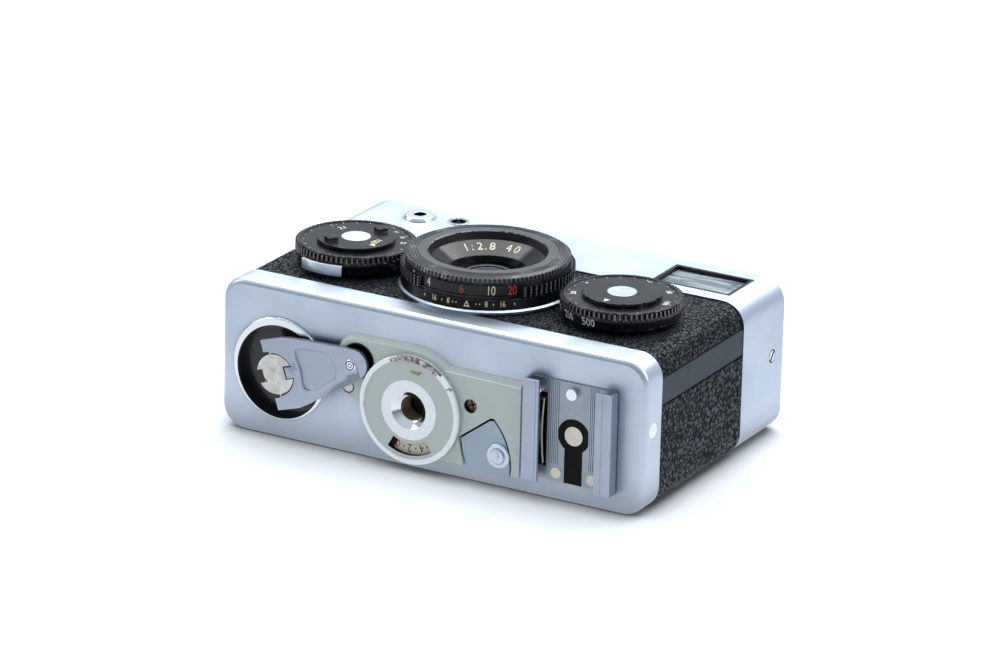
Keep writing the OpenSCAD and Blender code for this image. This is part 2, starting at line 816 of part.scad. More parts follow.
// Arm: a jaw round the hub, tapering to the knob; drawn along +X from the hinge
module arm_outline() {
    difference() {
        union() {
            polygon([[-1.3, 7.4], [3.8, 7.45], [5.9, 7], [11.8, 5.4], [18, 3.7], [20.1, 2.98],
                     [20.1, -2.98], [18, -3.7], [11.8, -5.4], [5.9, -7], [3.8, -7.45],
                     [-1.3, -7.4]]);
            translate([crank_reach + 0.6, 0]) circle(3.15);
        }
        circle(4.55);
        translate([-10, -4.85]) square([10, 9.7]);
    }
    translate([2.7, -1.15]) square([2.2, 2.3]);
}

module crank_arm() {
    color("#aeb9c8") translate([crank[0], arm_y, crank[1]]) rotate([0, -crank_angle, 0])
        difference() {
            rotate([90, 0, 0]) translate([0, 0, -arm_t / 2]) linear_extrude(arm_t) arm_outline();
            // hinge holes
            cylinder(r = 0.28 + fit, h = 30, center = true);
            // hollow in the face
            translate([0, -arm_t / 2 + 0.35, 0]) rotate([90, 0, 0]) linear_extrude(1)
                polygon([[6.3, 4.4], [7.9, 4.5], [12.7, 3.2], [14, 2.5], [14.5, 1.2],
                         [14.5, -1.1], [14, -2.3], [8.2, -4.2], [6.9, -4.2], [6.1, -3.6],
                         [6, -2.2], [6.4, 0], [6, 2.8]]);
            // rivet hole of the knob
            translate([crank_reach, 0, 0]) rotate([90, 0, 0])
                cylinder(r = 0.9 + fit, h = 4, center = true);
        }
}

module crank_knob() {
    color("#c3c8cf") translate([knob[0], 0, knob[1]]) rotate([90, 0, 0]) rotate_extrude()
        polygon([[0, 27.9], [1.6, 27.9], [1.9, 28.2], [1.9, 30.9], [1.7, 31.15], [0.9, 31.15],
                 [0.9, 32.35], [1.2, 32.35], [1, 32.55], [0, 32.55]]);
}

// Plate with an arm that reaches below the panel to its pivot
module back_latch() {
    color("#8f9eac") {
        along_y(base_y - 0.95, base_y - 0.1) intersection() {
            translate(latch) circle(latch_reach);
            polygon([[7.8, 9.15], [14.2, 13.95], [15.3, 14.15], [25, 14.15], [25, 3.15],
                     [9.7, 3.15], [8.4, 5.85]]);
        }
        along_y(base_y - 0.55, base_y - 0.1) translate(latch) {
            circle(0.85);
            polygon([[0, 0.85], [3.2, 3.1], [5, 3.1], [5, -0.9], [0, -0.85]]);
        }
        rod_y(latch, 0.85 - fit, base_y - 0.2, base_y + 1.6);
    }
}

module latch_button() {
    color("#b4c0cd") turned_y(latch_button_at, base_y)
        polygon([[0, 0.95], [2.6, 0.95], [2.6, 1.2], [2.4, 1.4], [1.75, 1.4], [1.6, 1.25],
                 [1.45, 1.75], [0.5, 1.8], [0.35, 2.05], [0, 2.05]]);
}

// ---- accessory shoe ----

module shoe_base() {
    color("#a9b1b8") difference() {
        translate([shoe[0] - shoe_inside / 2, base_y - shoe_t, shoe[1] - shoe_l / 2])
            cube([shoe_inside, shoe_t, shoe_l]);
        along_y(-40, 0) keyhole_outline();
        along_y(-40, 0) spring_slot_outline();
        along_y(-40, 0) for (p = shoe_rivets) translate(p) circle(1.2 + eps);
    }
}

// Slot in the base plate that the shoe's spring works through
module spring_slot_outline() { translate([23.9, 7]) square([2.85, 15.4]); }

module keyhole_outline() {
    translate(keyhole) {
        circle(3.55);
        translate([-2, -10.6]) square([4, 10]);
    }
}

module shoe_insulator() {
    color("#141516") difference() {
        along_y(base_y - shoe_t + 0.02, base_y) intersection() {
            keyhole_outline();
            translate([0, shoe[1] - shoe_l / 2]) square([100, 100]);
        }
        rod_y(keyhole, 2, -40, 0);
    }
}

module shoe_contact() {
    color("#cdc3b4") rod_y(keyhole, 2 - eps, base_y - shoe_t - 0.1, base_y);
}

// One rail: wall, lip and the raised line along the lip, for the side at -X
module shoe_rail() {
    lip = (shoe_inside - shoe_gap) / 2;
    wall = 0.6;
    translate([0, 0, -shoe_l / 2]) linear_extrude(shoe_l) {
        translate([-wall, -0.2]) mirror([0, 1]) square([wall, 3.0 - 0.2]);
        translate([-wall, -3.0]) square([wall + lip, 0.7]);
        translate([lip - 1.5, -3.2]) square([0.9, 0.3]);
    }
}

module shoe_rails() {
    color("#b9c4d4") {
        translate([shoe[0] - shoe_inside / 2, base_y, shoe[1]]) shoe_rail();
        translate([shoe[0] + shoe_inside / 2, base_y, shoe[1]]) mirror([1, 0, 0]) shoe_rail();
    }
}

// Bowed leaf that presses on a foot in the shoe
module shoe_spring() {
    n = 10;
    bow = [for (i = [0:n]) let (t = i / n) [24.4 + 1.1 * sin(180 * t), 7.6 + 13.6 * t]];
    color("#8a7a4a") along_y(base_y - 1.9, base_y + 0.6)
        polygon(concat(bow, [for (i = [n:-1:0]) bow[i] + [0.25, 0]]));
}

module base_fasteners() {
    color("#c9c1b6") {
        // shoe rivets and stop pin
        for (p = shoe_rivets) rod_y(p, 1.2, base_y - shoe_t - 0.1, base_y);
        rod_y(stop_pin, 1.2, base_y - 1.4, base_y - shoe_t);
        // panel screws
        rod_y(panel_screw, panel_screw_r - eps, base_y - 0.15, base_y);
        rod_y(lobe_screw, lobe_screw_r - eps, base_y - panel_t + 0.02, base_y);
        // rivets in the ends of the base shell
        for (s = [-1, 1]) translate([s * (side_x - 0.4), end_rivet[0], end_rivet[1]])
            rotate([0, s * 90, 0]) cylinder(r = 1.65 - eps, h = 0.4);
    }
}

chassis();
front_leather();
side_bands();
top_shell();
shell_screws();
viewfinder_tunnel();
viewfinder_frame();
viewfinder_glass();
eyepiece();
meter_cell();
sync_socket();
meter_housing();
meter_glass();
meter_needle();
shutter_collar();
shutter_button();
lens_release();
rewind_release();
advance_lever();
pressure_plate();
takeup_spool();
sprocket();
lens_base_ring();
lens_tube();
lens_core();
depth_scale_ring();
rear_glass();
focus_ring();
front_bezel();
name_ring();
front_glass();
dial_seats();
dial_screws();
aperture_dial();
film_speed_disc();
aperture_lock();
shutter_dial();
film_reminder_disc();
base_shell();
back_cover();
back_leather();
base_panel();
socket_boss();
tripod_bush();
counter_disc();
crank_ring();
crank_well();
knob_pocket();
rewind_shaft();
crank_arm();
crank_knob();
back_latch();
latch_button();
shoe_base();
shoe_rails();
shoe_insulator();
shoe_contact();
shoe_spring();
base_fasteners();
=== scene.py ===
"""Looks of a compact 35 mm camera: finishes, shells, leather, figures, light and viewpoint.

The camera lies on its back with the lens up. +X is its width, +Y points to its top plate and
+Z out of the lens. Sizes and places are in millimetres, which MM turns into Blender's metres.
Finishes count in metres, as the pieces' own coordinates do.
"""
import json
import logging
import math
from dataclasses import dataclass
from enum import Enum
from typing import Callable, ClassVar, Optional, Sequence

import bpy
from mathutils import Matrix, Vector


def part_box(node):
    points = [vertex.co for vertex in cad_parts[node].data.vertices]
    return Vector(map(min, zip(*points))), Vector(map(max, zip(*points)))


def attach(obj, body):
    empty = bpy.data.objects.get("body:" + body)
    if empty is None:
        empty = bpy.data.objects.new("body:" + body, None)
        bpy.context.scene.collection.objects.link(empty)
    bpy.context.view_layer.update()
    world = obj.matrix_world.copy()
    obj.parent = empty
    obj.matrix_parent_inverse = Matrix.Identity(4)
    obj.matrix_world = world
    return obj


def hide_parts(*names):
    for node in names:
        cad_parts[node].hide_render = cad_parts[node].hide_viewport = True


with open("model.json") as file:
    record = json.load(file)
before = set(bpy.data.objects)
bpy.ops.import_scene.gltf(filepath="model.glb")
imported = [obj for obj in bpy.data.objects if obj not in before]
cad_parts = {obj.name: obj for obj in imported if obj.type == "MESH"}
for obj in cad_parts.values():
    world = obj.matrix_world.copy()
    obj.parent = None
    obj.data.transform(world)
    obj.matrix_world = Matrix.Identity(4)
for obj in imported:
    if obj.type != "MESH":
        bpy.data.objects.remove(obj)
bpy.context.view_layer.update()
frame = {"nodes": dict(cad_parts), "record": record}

MM = 0.001
LOG = logging.getLogger("camera")

FACE = -30.0                    # Y of the base shell's outer face
BOSS = (-3.5, 13.05)            # middle of the boss, in X and Z
PANEL_SCREW = (9.85, 16.3)      # middle of the screw in the panel, in X and Z

Piece = bpy.types.Object
Node = bpy.types.Node
Socket = bpy.types.NodeSocket
Colour = tuple[float, float, float]
Point = Sequence[float]
Sizes = Sequence[float]


# ---------------------------------------------------------------- node graphs

def rgba(colour: Colour) -> tuple[float, float, float, float]:
    """Return a colour with full alpha."""
    return (*colour, 1.0)


class Graph:
    """Shorthand for building a node tree."""

    def __init__(self, tree: bpy.types.NodeTree) -> None:
        """Clear a node tree and hold it."""
        self.tree = tree
        self.tree.nodes.clear()

    def add(self, kind: str, inputs: Optional[dict] = None, **props: object) -> Node:
        """Add a node.

        Args:
            kind: node type without the ShaderNode prefix.
            inputs: values or sockets, by input name or index.
            props: node properties to set.

        Returns:
            The new node.
        """
        prefix = "" if kind.startswith("Node") else "ShaderNode"
        node = self.tree.nodes.new(prefix + kind)
        for name, value in props.items():
            setattr(node, name, value)
        for name, value in (inputs or {}).items():
            self.feed(node, name, value)
        return node

    def feed(self, node: Node, name: "str | int", value: object) -> None:
        """Set an input to a value, or link it to a socket.

        Args:
            node: the node.
            name: the input's name or index.
            value: the value or the socket.
        """
        if isinstance(value, Socket):
            self.tree.links.new(value, node.inputs[name])
        else:
            node.inputs[name].default_value = value

    def here(self) -> Socket:
        """Return the socket of the piece's own coordinates."""
        return self.add("TexCoord").outputs["Object"]

    def noise(self, where: Socket, scale: object, **inputs: float) -> Node:
        """Add a noise texture at some coordinates."""
        return self.add("TexNoise", {"Vector": where, "Scale": scale, **inputs})

    def blend(self, factor: object, a: object, b: object) -> Socket:
        """Mix two colours.

        Args:
            factor: share of the second colour.
            a, b: the colours, or their sockets.

        Returns:
            The result's socket.
        """
        node = self.add("Mix", data_type="RGBA")
        for index, value in ((0, factor), (6, a), (7, b)):
            self.feed(node, index, rgba(value) if isinstance(value, tuple) else value)
        return node.outputs[2]

    def math(self, operation: str, a: object, b: object) -> Socket:
        """Apply a math operation and return the result's socket."""
        return self.add("Math", {0: a, 1: b}, operation=operation).outputs[0]

    def span(self, value: object, low: object, high: object, to_low: object = 0.0,
             to_high: object = 1.0) -> Socket:
        """Map a value from one range to another, clamped.

        Args:
            value: the value.
            low, high: the range that it comes from.
            to_low, to_high: what the ends of that range become.

        Returns:
            The result's socket.
        """
        node = self.add("MapRange", {0: value, 1: low, 2: high, 3: to_low, 4: to_high})
        return node.outputs[0]

    def between(self, factor: Socket, start: object, end: object) -> Socket:
        """Go from one value to another with a factor from 0 to 1, and return the socket."""
        return self.span(factor, 0.0, 1.0, start, end)

    def times(self, a: object, b: object) -> Socket:
        """Multiply two values and return the result's socket."""
        return self.math("MULTIPLY", a, b)

    def bump(self, height: Socket, depth: float, base: Optional[Socket] = None) -> Socket:
        """Turn a height into a normal.

        Args:
            height: the height, from 0 to 1.
            depth: how deep that is, in metres.
            base: a normal that it lies over, if any.

        Returns:
            The normal's socket.
        """
        node = self.add("Bump", {"Height": height, "Distance": depth})
        if base is not None:
            self.feed(node, "Normal", base)
        return node.outputs[0]


class Effect(Enum):
    """The shared surface effects, each a node group built once."""

    BLOTCHES = "blotches"
    SCUFFS = "scuffs"
    BRUSHED = "brushed"
    GRAIN = "grain"
    EDGE_WEAR = "edge_wear"
    HIDE = "hide"


class Effects:
    """Builds the shared node groups and places them in materials."""

    def __init__(self) -> None:
        """Build every group."""
        self.groups = {effect: getattr(self, effect.value)() for effect in Effect}

    def place(self, graph: Graph, effect: Effect, **values: float) -> Node:
        """Put an effect in a material.

        Args:
            graph: the material's graph.
            effect: which group.
            values: values of the group's inputs.

        Returns:
            The group node.
        """
        node = graph.add("Group")
        node.node_tree = self.groups[effect]
        for name, value in values.items():
            node.inputs[name].default_value = value
        return node

    @staticmethod
    def new(effect: Effect, *outputs: str, **inputs: float) -> tuple:
        """Make an empty group.

        Args:
            effect: what it is for.
            outputs: names of its outputs.
            inputs: its inputs and their usual values.

        Returns:
            Its graph, the sockets of its inputs, and its output node.
        """
        tree = bpy.data.node_groups.new(effect.value, "ShaderNodeTree")
        graph = Graph(tree)
        for label, value in inputs.items():
            tree.interface.new_socket(label, in_out="INPUT",
                                      socket_type="NodeSocketFloat").default_value = value
        for label in outputs:
            tree.interface.new_socket(label, in_out="OUTPUT", socket_type="NodeSocketFloat")
        return graph, graph.add("NodeGroupInput").outputs, graph.add("NodeGroupOutput")

    def blotches(self) -> bpy.types.NodeTree:
        """Soft patches, as handling leaves on metal."""
        graph, given, out = self.new(Effect.BLOTCHES, "Mask", Scale=60.0, Low=0.4, High=0.7)
        noise = graph.noise(graph.here(), given["Scale"], Detail=5.0, Roughness=0.6,
                            Distortion=0.4)
        graph.feed(out, "Mask", graph.span(noise.outputs[0], given["Low"], given["High"]))
        return graph.tree

    def scuffs(self) -> bpy.types.NodeTree:
        """Short thin scratches in several directions."""
        graph, given, out = self.new(Effect.SCUFFS, "Mask", Scale=300.0, Threshold=0.7)
        where = graph.here()
        high = graph.math("ADD", given["Threshold"], 0.03)
        total = 0.0
        for turn, stretch in ((0.5, (1, 1, 18)), (1.9, (16, 1, 1)), (2.7, (1, 14, 2))):
            mapped = graph.add("Mapping", {"Vector": where, "Rotation": (turn, turn * 1.7, turn),
                                           "Scale": tuple(1.0 / s for s in stretch)})
            noise = graph.noise(mapped.outputs[0], given["Scale"], Detail=2.0)
            total = graph.math("MAXIMUM", total,
                               graph.span(noise.outputs[0], given["Threshold"], high))
        graph.feed(out, "Mask", total)
        return graph.tree

    def brushed(self) -> bpy.types.NodeTree:
        """Fine parallel lines along Z, as brushing leaves."""
        graph, given, out = self.new(Effect.BRUSHED, "Height", Scale=900.0, Stretch=40.0)
        x, y, z = graph.add("SeparateXYZ", {0: graph.here()}).outputs
        drawn = graph.add("CombineXYZ", {0: x, 1: y, 2: graph.math("DIVIDE", z, given["Stretch"])})
        graph.feed(out, "Height", graph.noise(drawn.outputs[0], given["Scale"],
                                              Detail=3.0).outputs[0])
        return graph.tree

    def grain(self) -> bpy.types.NodeTree:
        """Fine even grain of a blasted, cast or enamelled surface."""
        graph, given, out = self.new(Effect.GRAIN, "Height", Scale=2500.0)
        noise = graph.noise(graph.here(), given["Scale"], Detail=2.0, Roughness=0.55)
        graph.feed(out, "Height", noise.outputs[0])
        return graph.tree

    def edge_wear(self) -> bpy.types.NodeTree:
        """Mask along sharp edges, broken up by noise."""
        graph, given, out = self.new(Effect.EDGE_WEAR, "Mask", Radius=0.0003, Breakup=220.0,
                                     Low=0.45, High=0.6)
        rounded = graph.add("Bevel", {"Radius": given["Radius"]}, samples=4)
        flat = graph.add("NewGeometry").outputs["True Normal"]
        dot = graph.add("VectorMath", {0: rounded.outputs[0], 1: flat}, operation="DOT_PRODUCT")
        edge = graph.span(dot.outputs["Value"], 0.995, 0.93)
        noise = graph.noise(graph.here(), given["Breakup"], Detail=4.0, Roughness=0.7)
        broken = graph.span(noise.outputs[0], given["Low"], given["High"])
        graph.feed(out, "Mask", graph.times(edge, broken))
        return graph.tree

    def hide(self) -> bpy.types.NodeTree:
        """Rounded pebbles of leatherette, wrinkled on top."""
        graph, given, out = self.new(Effect.HIDE, "Height", "Crease", Scale=900.0, Bend=0.0007)
        where = graph.here()
        noise = graph.noise(where, given["Scale"], Detail=3.0, Roughness=0.6)
        bent = graph.add("VectorMath", {0: noise.outputs["Color"], "Scale": given["Bend"]},
                         operation="SCALE")
        moved = graph.add("VectorMath", {0: where, 1: bent.outputs[0]}, operation="ADD")
        near, far = (graph.add("TexVoronoi", {"Vector": moved.outputs[0],
                                              "Scale": given["Scale"]}, feature=feature)
                     for feature in ("F1", "F2"))
        split = graph.math("SUBTRACT", far.outputs["Distance"], near.outputs["Distance"])
        dome = graph.add("MapRange", {0: split, 1: 0.0, 2: 0.42, 3: 0.0, 4: 1.0},
                         interpolation_type="SMOOTHSTEP").outputs[0]
        wrinkle = graph.times(noise.outputs[0], 0.8)
        graph.feed(out, "Crease", dome)
        graph.feed(out, "Height", graph.math("ADD", dome, wrinkle))
        return graph.tree


# ---------------------------------------------------------------- finishes

@dataclass(frozen=True)
class Finish:
    """A finish, named for where it goes; subclasses say how it is made."""

    name: str
    colour: Colour

    def build(self, effects: Effects) -> bpy.types.Material:
        """Return the finish's material."""
        material = bpy.data.materials.new(self.name)
        material.use_nodes = True
        material.diffuse_color = rgba(self.colour)
        graph = Graph(material.node_tree)
        shader = graph.add("BsdfPrincipled", {"Base Color": rgba(self.colour)})
        graph.add("OutputMaterial", {"Surface": shader.outputs[0]})
        for name, value in self.dress(graph, effects).items():
            graph.feed(shader, name, value)
        return material

    def dress(self, graph: Graph, effects: Effects) -> dict[str, object]:
        """Return the values and sockets of the shader's inputs."""
        raise NotImplementedError


@dataclass(frozen=True)
class Metal(Finish):
    """Bare or plated metal with handling marks, and with painted shade where that is set.

    Attributes:
        worn: colour of the patches.
        rough: roughness of the clean metal.
        marks: how strongly patches show, 0 to 1.
        patch: patches in a metre.
        lines: depth of brushed lines in metres, or 0.
        grain: depth of blasted grain in metres, where there are no lines.
        painted_shade: how strongly the colour is darkened beside raised parts and near the floor,
            as painted shade, 0 to 1.
        reach: how far from a raised part the painted shade goes, in metres.
    """

    worn: Colour = (0.6, 0.6, 0.62)
    rough: float = 0.3
    marks: float = 0.3
    patch: float = 70.0
    lines: float = 0.0
    grain: float = 0.00001
    painted_shade: float = 0.0
    reach: float = 0.009

    def dress(self, graph: Graph, effects: Effects) -> dict[str, object]:
        """Return the values and sockets of the shader's inputs."""
        patches = effects.place(graph, Effect.BLOTCHES, Scale=self.patch, Low=0.42,
                                High=0.75).outputs[0]
        scuffs = effects.place(graph, Effect.SCUFFS, Scale=260.0, Threshold=0.72).outputs[0]
        colour = graph.blend(graph.times(patches, self.marks), self.colour, self.worn)
        bright = tuple(min(1.0, c * 1.25) for c in self.colour)
        colour = graph.blend(graph.times(scuffs, self.marks * 0.5), colour, bright)
        # Painted shade: ambient occlusion darkens the colour beside raised parts and near the
        # floor.
        if self.painted_shade:
            near = graph.add("AmbientOcclusion", {"Distance": self.reach}, samples=12)
            darkened = graph.span(near.outputs["AO"], 0.62, 1.0, self.painted_shade, 0.0)
            colour = graph.blend(darkened, colour, tuple(c * 0.45 for c in self.colour))
        if self.lines:
            height = effects.place(graph, Effect.BRUSHED, Scale=1500.0, Stretch=60.0)
        else:
            height = effects.place(graph, Effect.GRAIN, Scale=2600.0)
        return {"Base Color": colour, "Metallic": 1.0,
                "Roughness": graph.between(patches, self.rough, self.rough + 0.12),
                "Normal": graph.bump(height.outputs[0], self.lines or self.grain)}


@dataclass(frozen=True)
class Enamel(Finish):
    """Paint or plastic over metal, rubbed through at the edges.

    Attributes:
        worn: colour under the paint.
        rough: roughness of the paint.
        wear: share of the edges that is rubbed through, 0 to 1.
        dust: how much pale dust lies in the surface.
        shine: specular level; 0.5 is that of plain paint.
    """

    worn: Colour = (0.55, 0.45, 0.3)
    rough: float = 0.3
    wear: float = 0.2
    dust: float = 0.1
    shine: float = 0.5

    def dress(self, graph: Graph, effects: Effects) -> dict[str, object]:
        """Return the values and sockets of the shader's inputs."""
        edges = effects.place(graph, Effect.EDGE_WEAR, Radius=0.00025, Breakup=260.0,
                              Low=0.62 - 0.2 * self.wear, High=0.72 - 0.2 * self.wear).outputs[0]
        patches = effects.place(graph, Effect.BLOTCHES, Scale=160.0, Low=0.45,
                                High=0.8).outputs[0]
        dusty = tuple(c + 0.06 for c in self.colour)
        colour = graph.blend(graph.times(patches, self.dust), self.colour, dusty)
        grain = effects.place(graph, Effect.GRAIN, Scale=3500.0)
        return {"Base Color": graph.blend(edges, colour, self.worn),
                "Metallic": graph.times(edges, 0.9),
                "Roughness": graph.between(patches, self.rough, self.rough + 0.15),
                "Specular IOR Level": self.shine,
                "Normal": graph.bump(grain.outputs[0], 0.000006)}


@dataclass(frozen=True)
class Hide(Finish):
    """Leatherette: black in its creases, shiny on its pebbles, whose crests are greyed partly by
    rubbing and partly as a painted highlight.

    Attributes:
        crest: colour of the high spots, partly rubbed wear and partly a painted highlight.
        scale: pebbles in a metre.
        rough: roughness of the crests.
        depth: height of the pebbles in metres.
        bend: how far noise bends their outlines, in metres.
        shine: how strongly the pebbles shine, 0 to 1.
    """

    crest: Colour
    scale: float
    rough: float
    depth: float
    bend: float
    shine: float = 0.75

    def dress(self, graph: Graph, effects: Effects) -> dict[str, object]:
        """Return the values and sockets of the shader's inputs."""
        coarse = effects.place(graph, Effect.HIDE, Scale=self.scale, Bend=self.bend)
        fine = effects.place(graph, Effect.HIDE, Scale=self.scale * 2.3, Bend=self.bend)
        patches = effects.place(graph, Effect.BLOTCHES, Scale=300.0, Low=0.3, High=0.7)
        high = graph.times(coarse.outputs["Crease"],
                          graph.between(fine.outputs["Crease"], 0.5, 1.0))
        # The crests' lighter colour is partly rubbed wear and partly a painted highlight.
        rubbed = graph.times(high, graph.between(patches.outputs[0], 0.7, 1.0))
        pebbles = graph.bump(coarse.outputs["Height"], self.depth)
        return {"Base Color": graph.blend(rubbed, self.colour, self.crest),
                "Roughness": graph.between(high, self.rough + 0.3, self.rough),
                "Coat Weight": graph.times(high, self.shine),
                "Coat Roughness": self.rough, "Specular IOR Level": 0.03,
                "Normal": graph.bump(fine.outputs["Height"], self.depth * 0.3, pebbles)}


@dataclass(frozen=True)
class Glass(Finish):
    """Clear or coated glass.

    Attributes:
        rough: roughness of the clean glass.
        clear: how much of the light passes; the rest meets the glass's own colour.
        streaks: how strongly painted reflections, drawn out in streaks, show, 0 to 1.
        glint: colour of those painted reflections.
    """

    rough: float = 0.02
    clear: float = 1.0
    streaks: float = 0.0
    glint: Colour = (0.55, 0.62, 0.66)

    def dress(self, graph: Graph, effects: Effects) -> dict[str, object]:
        """Return the values and sockets of the shader's inputs."""
        smears = effects.place(graph, Effect.BLOTCHES, Scale=200.0, Low=0.5, High=0.8)
        values = {"Roughness": graph.between(smears.outputs[0], self.rough, self.rough + 0.05),
                  "Transmission Weight": self.clear, "IOR": 1.5}
        # Painted reflections: streaks of a paler colour in the glass's own colour.
        if self.streaks:
            drawn = graph.add("VectorMath", {0: graph.here(), 1: (90.0, 850.0, 90.0)},
                              operation="MULTIPLY")
            noise = graph.noise(drawn.outputs[0], 1.0, Detail=2.0, Distortion=0.6)
            streak = graph.times(graph.span(noise.outputs[0], 0.42, 0.68), self.streaks)
            values["Base Color"] = graph.blend(streak, self.colour, self.glint)
        return values


@dataclass(frozen=True)
class Figures(Finish):
    """Paint that fills engraved figures."""

    def dress(self, graph: Graph, effects: Effects) -> dict[str, object]:
        """Return the values and sockets of the shader's inputs."""
        patches = effects.place(graph, Effect.BLOTCHES, Scale=900.0, Low=0.55, High=0.75)
        darkened = tuple(c * 0.6 for c in self.colour)
        return {"Base Color": graph.blend(patches.outputs[0], self.colour, darkened),
                "Roughness": 0.5}


class Paint(Enum):
    """The camera's finishes.

    Each gives its name, its colour, that of its patches, worn edges or high spots, and the rest
    by name.
    """

    # The shell's colour carries painted shade beside raised parts and near the floor.
    SHELL = Metal("satin_shell", (0.56, 0.64, 0.74), (0.47, 0.54, 0.64), rough=0.36, marks=0.45,
                  grain=0.000008, painted_shade=0.65)
    CHROME = Metal("polished_chrome", (0.80, 0.83, 0.87), (0.7, 0.7, 0.7), rough=0.12,
                   marks=0.25, grain=0.000001)
    BRIGHT = Metal("turned_alloy", (0.80, 0.85, 0.92), (0.7, 0.74, 0.8), rough=0.26,
                   grain=0.000006)
    BUTTON = Metal("button_alloy", (0.60, 0.68, 0.79), (0.55, 0.6, 0.68), grain=0.000006)
    CRANK = Metal("crank_alloy", (0.40, 0.46, 0.55), (0.36, 0.42, 0.49), rough=0.38, marks=0.35)
    LATCH = Metal("latch_alloy", (0.36, 0.44, 0.52), (0.33, 0.40, 0.47), rough=0.45)
    SHOE = Metal("brushed_steel", (0.33, 0.38, 0.43), (0.27, 0.31, 0.35), rough=0.4, marks=0.5,
                 lines=0.00003)
    NICKEL = Metal("satin_nickel", (0.62, 0.59, 0.53), (0.45, 0.41, 0.36), rough=0.36, marks=0.6)
    HUB = Metal("hub_metal", (0.70, 0.68, 0.66), (0.44, 0.40, 0.38), rough=0.42, marks=0.8,
                patch=420.0)
    STAIN = Metal("stained_rim", (0.16, 0.11, 0.12), (0.85, 0.85, 0.88), rough=0.4, marks=1.0,
                  patch=1400.0, grain=0.00003)
    THREAD = Metal("oxidised_thread", (0.09, 0.07, 0.045), (0.02, 0.015, 0.01), rough=0.4,
                   marks=0.7)
    RUST = Metal("rusty_steel", (0.30, 0.22, 0.14), (0.10, 0.06, 0.03), rough=0.5, marks=0.9,
                 grain=0.00002)
    BRASS = Metal("tarnished_brass", (0.38, 0.30, 0.15), (0.15, 0.12, 0.08), rough=0.35,
                  marks=0.8)
    STEEL = Metal("plain_steel", (0.42, 0.43, 0.45), (0.3, 0.3, 0.31), rough=0.35, marks=0.4)
    # Dark steel for the lines between the shoe's ribs, painted shade.
    GROOVE = Metal("groove_shade", (0.12, 0.14, 0.16), (0.08, 0.08, 0.09), rough=0.4, marks=0.5)

    RIM = Enamel("bright_rim", (0.90, 0.94, 0.98), (0.5, 0.45, 0.4), rough=0.4, wear=0.3)
    WASHER = Enamel("white_alloy", (0.90, 0.94, 0.99), (0.6, 0.6, 0.6), rough=0.35)
    PLATE = Enamel("plate_enamel", (0.50, 0.56, 0.54), (0.52, 0.40, 0.24), rough=0.45, wear=0.6,
                   dust=0.5)
    BLACK = Enamel("black_enamel", (0.005, 0.005, 0.006), (0.22, 0.21, 0.2), rough=0.2,
                   wear=0.3, dust=0.05, shine=0.35)
    # Lighter grey for knurl tips, a painted highlight.
    STUD = Enamel("highlit_knurl_black", (0.085, 0.092, 0.102), (0.7, 0.7, 0.72), wear=0.5, shine=1.0)
    WELL = Enamel("well_black", (0.009, 0.010, 0.013), (0.1, 0.1, 0.1), rough=0.2, wear=0.0)
    SATIN = Enamel("satin_black", (0.020, 0.022, 0.025), (0.3, 0.3, 0.32), rough=0.34, wear=0.4,
                   shine=0.7)
    GLOSS = Enamel("black_gloss", (0.004, 0.004, 0.005), (0.1, 0.1, 0.1), rough=0.14, wear=0.0,
                   dust=0.03, shine=0.35)
    # Dead black: on most pieces it stands for painted shade in gaps, holes, slots and grooves.
    SHADOW = Enamel("black_line", (0.003, 0.003, 0.004), (0.02, 0.02, 0.02), rough=0.6,
                    wear=0.0, dust=0.0, shine=0.15)
    CASTING = Enamel("dark_casting", (0.012, 0.012, 0.014), (0.2, 0.2, 0.2), rough=0.6,
                     dust=0.2, shine=0.3)
    BAND = Enamel("slate_band", (0.020, 0.030, 0.042), (0.2, 0.2, 0.2), rough=0.5, dust=0.05,
                  shine=0.3)
    CREAM = Enamel("cream_enamel", (0.72, 0.66, 0.55), (0.5, 0.45, 0.35), rough=0.5, wear=0.0,
                   dust=0.3)

    FINE_HIDE = Hide("fine_leather", (0.006, 0.007, 0.009), (0.080, 0.094, 0.116),
                     scale=1150.0, rough=0.4, depth=0.0005, bend=0.0009)
    COARSE_HIDE = Hide("coarse_leather", (0.012, 0.015, 0.019), (0.105, 0.128, 0.160),
                       scale=900.0, rough=0.42, depth=0.0007, bend=0.0013)
    CLEAR = Glass("clear_glass", (0.78, 0.92, 0.90))
    # The finder's two glasses carry painted reflections in streaks.
    FINDER = Glass("finder_glass", (0.05, 0.11, 0.11), rough=0.05, clear=0.5, streaks=0.3)
    LENS = Glass("finder_lens", (0.14, 0.20, 0.23), rough=0.05, clear=0.4, streaks=0.9)
    COATED = Glass("coated_glass", (0.010, 0.012, 0.020), clear=0.25)
    IVORY = Figures("cream_figures", (0.72, 0.66, 0.45))
    WHITE = Figures("white_figures", (0.75, 0.75, 0.72))
    RED = Figures("red_figures", (0.55, 0.03, 0.03))
    INK = Figures("black_figures", (0.02, 0.02, 0.02))
    NEEDLE = Figures("red_pointer", (0.5, 0.04, 0.03))


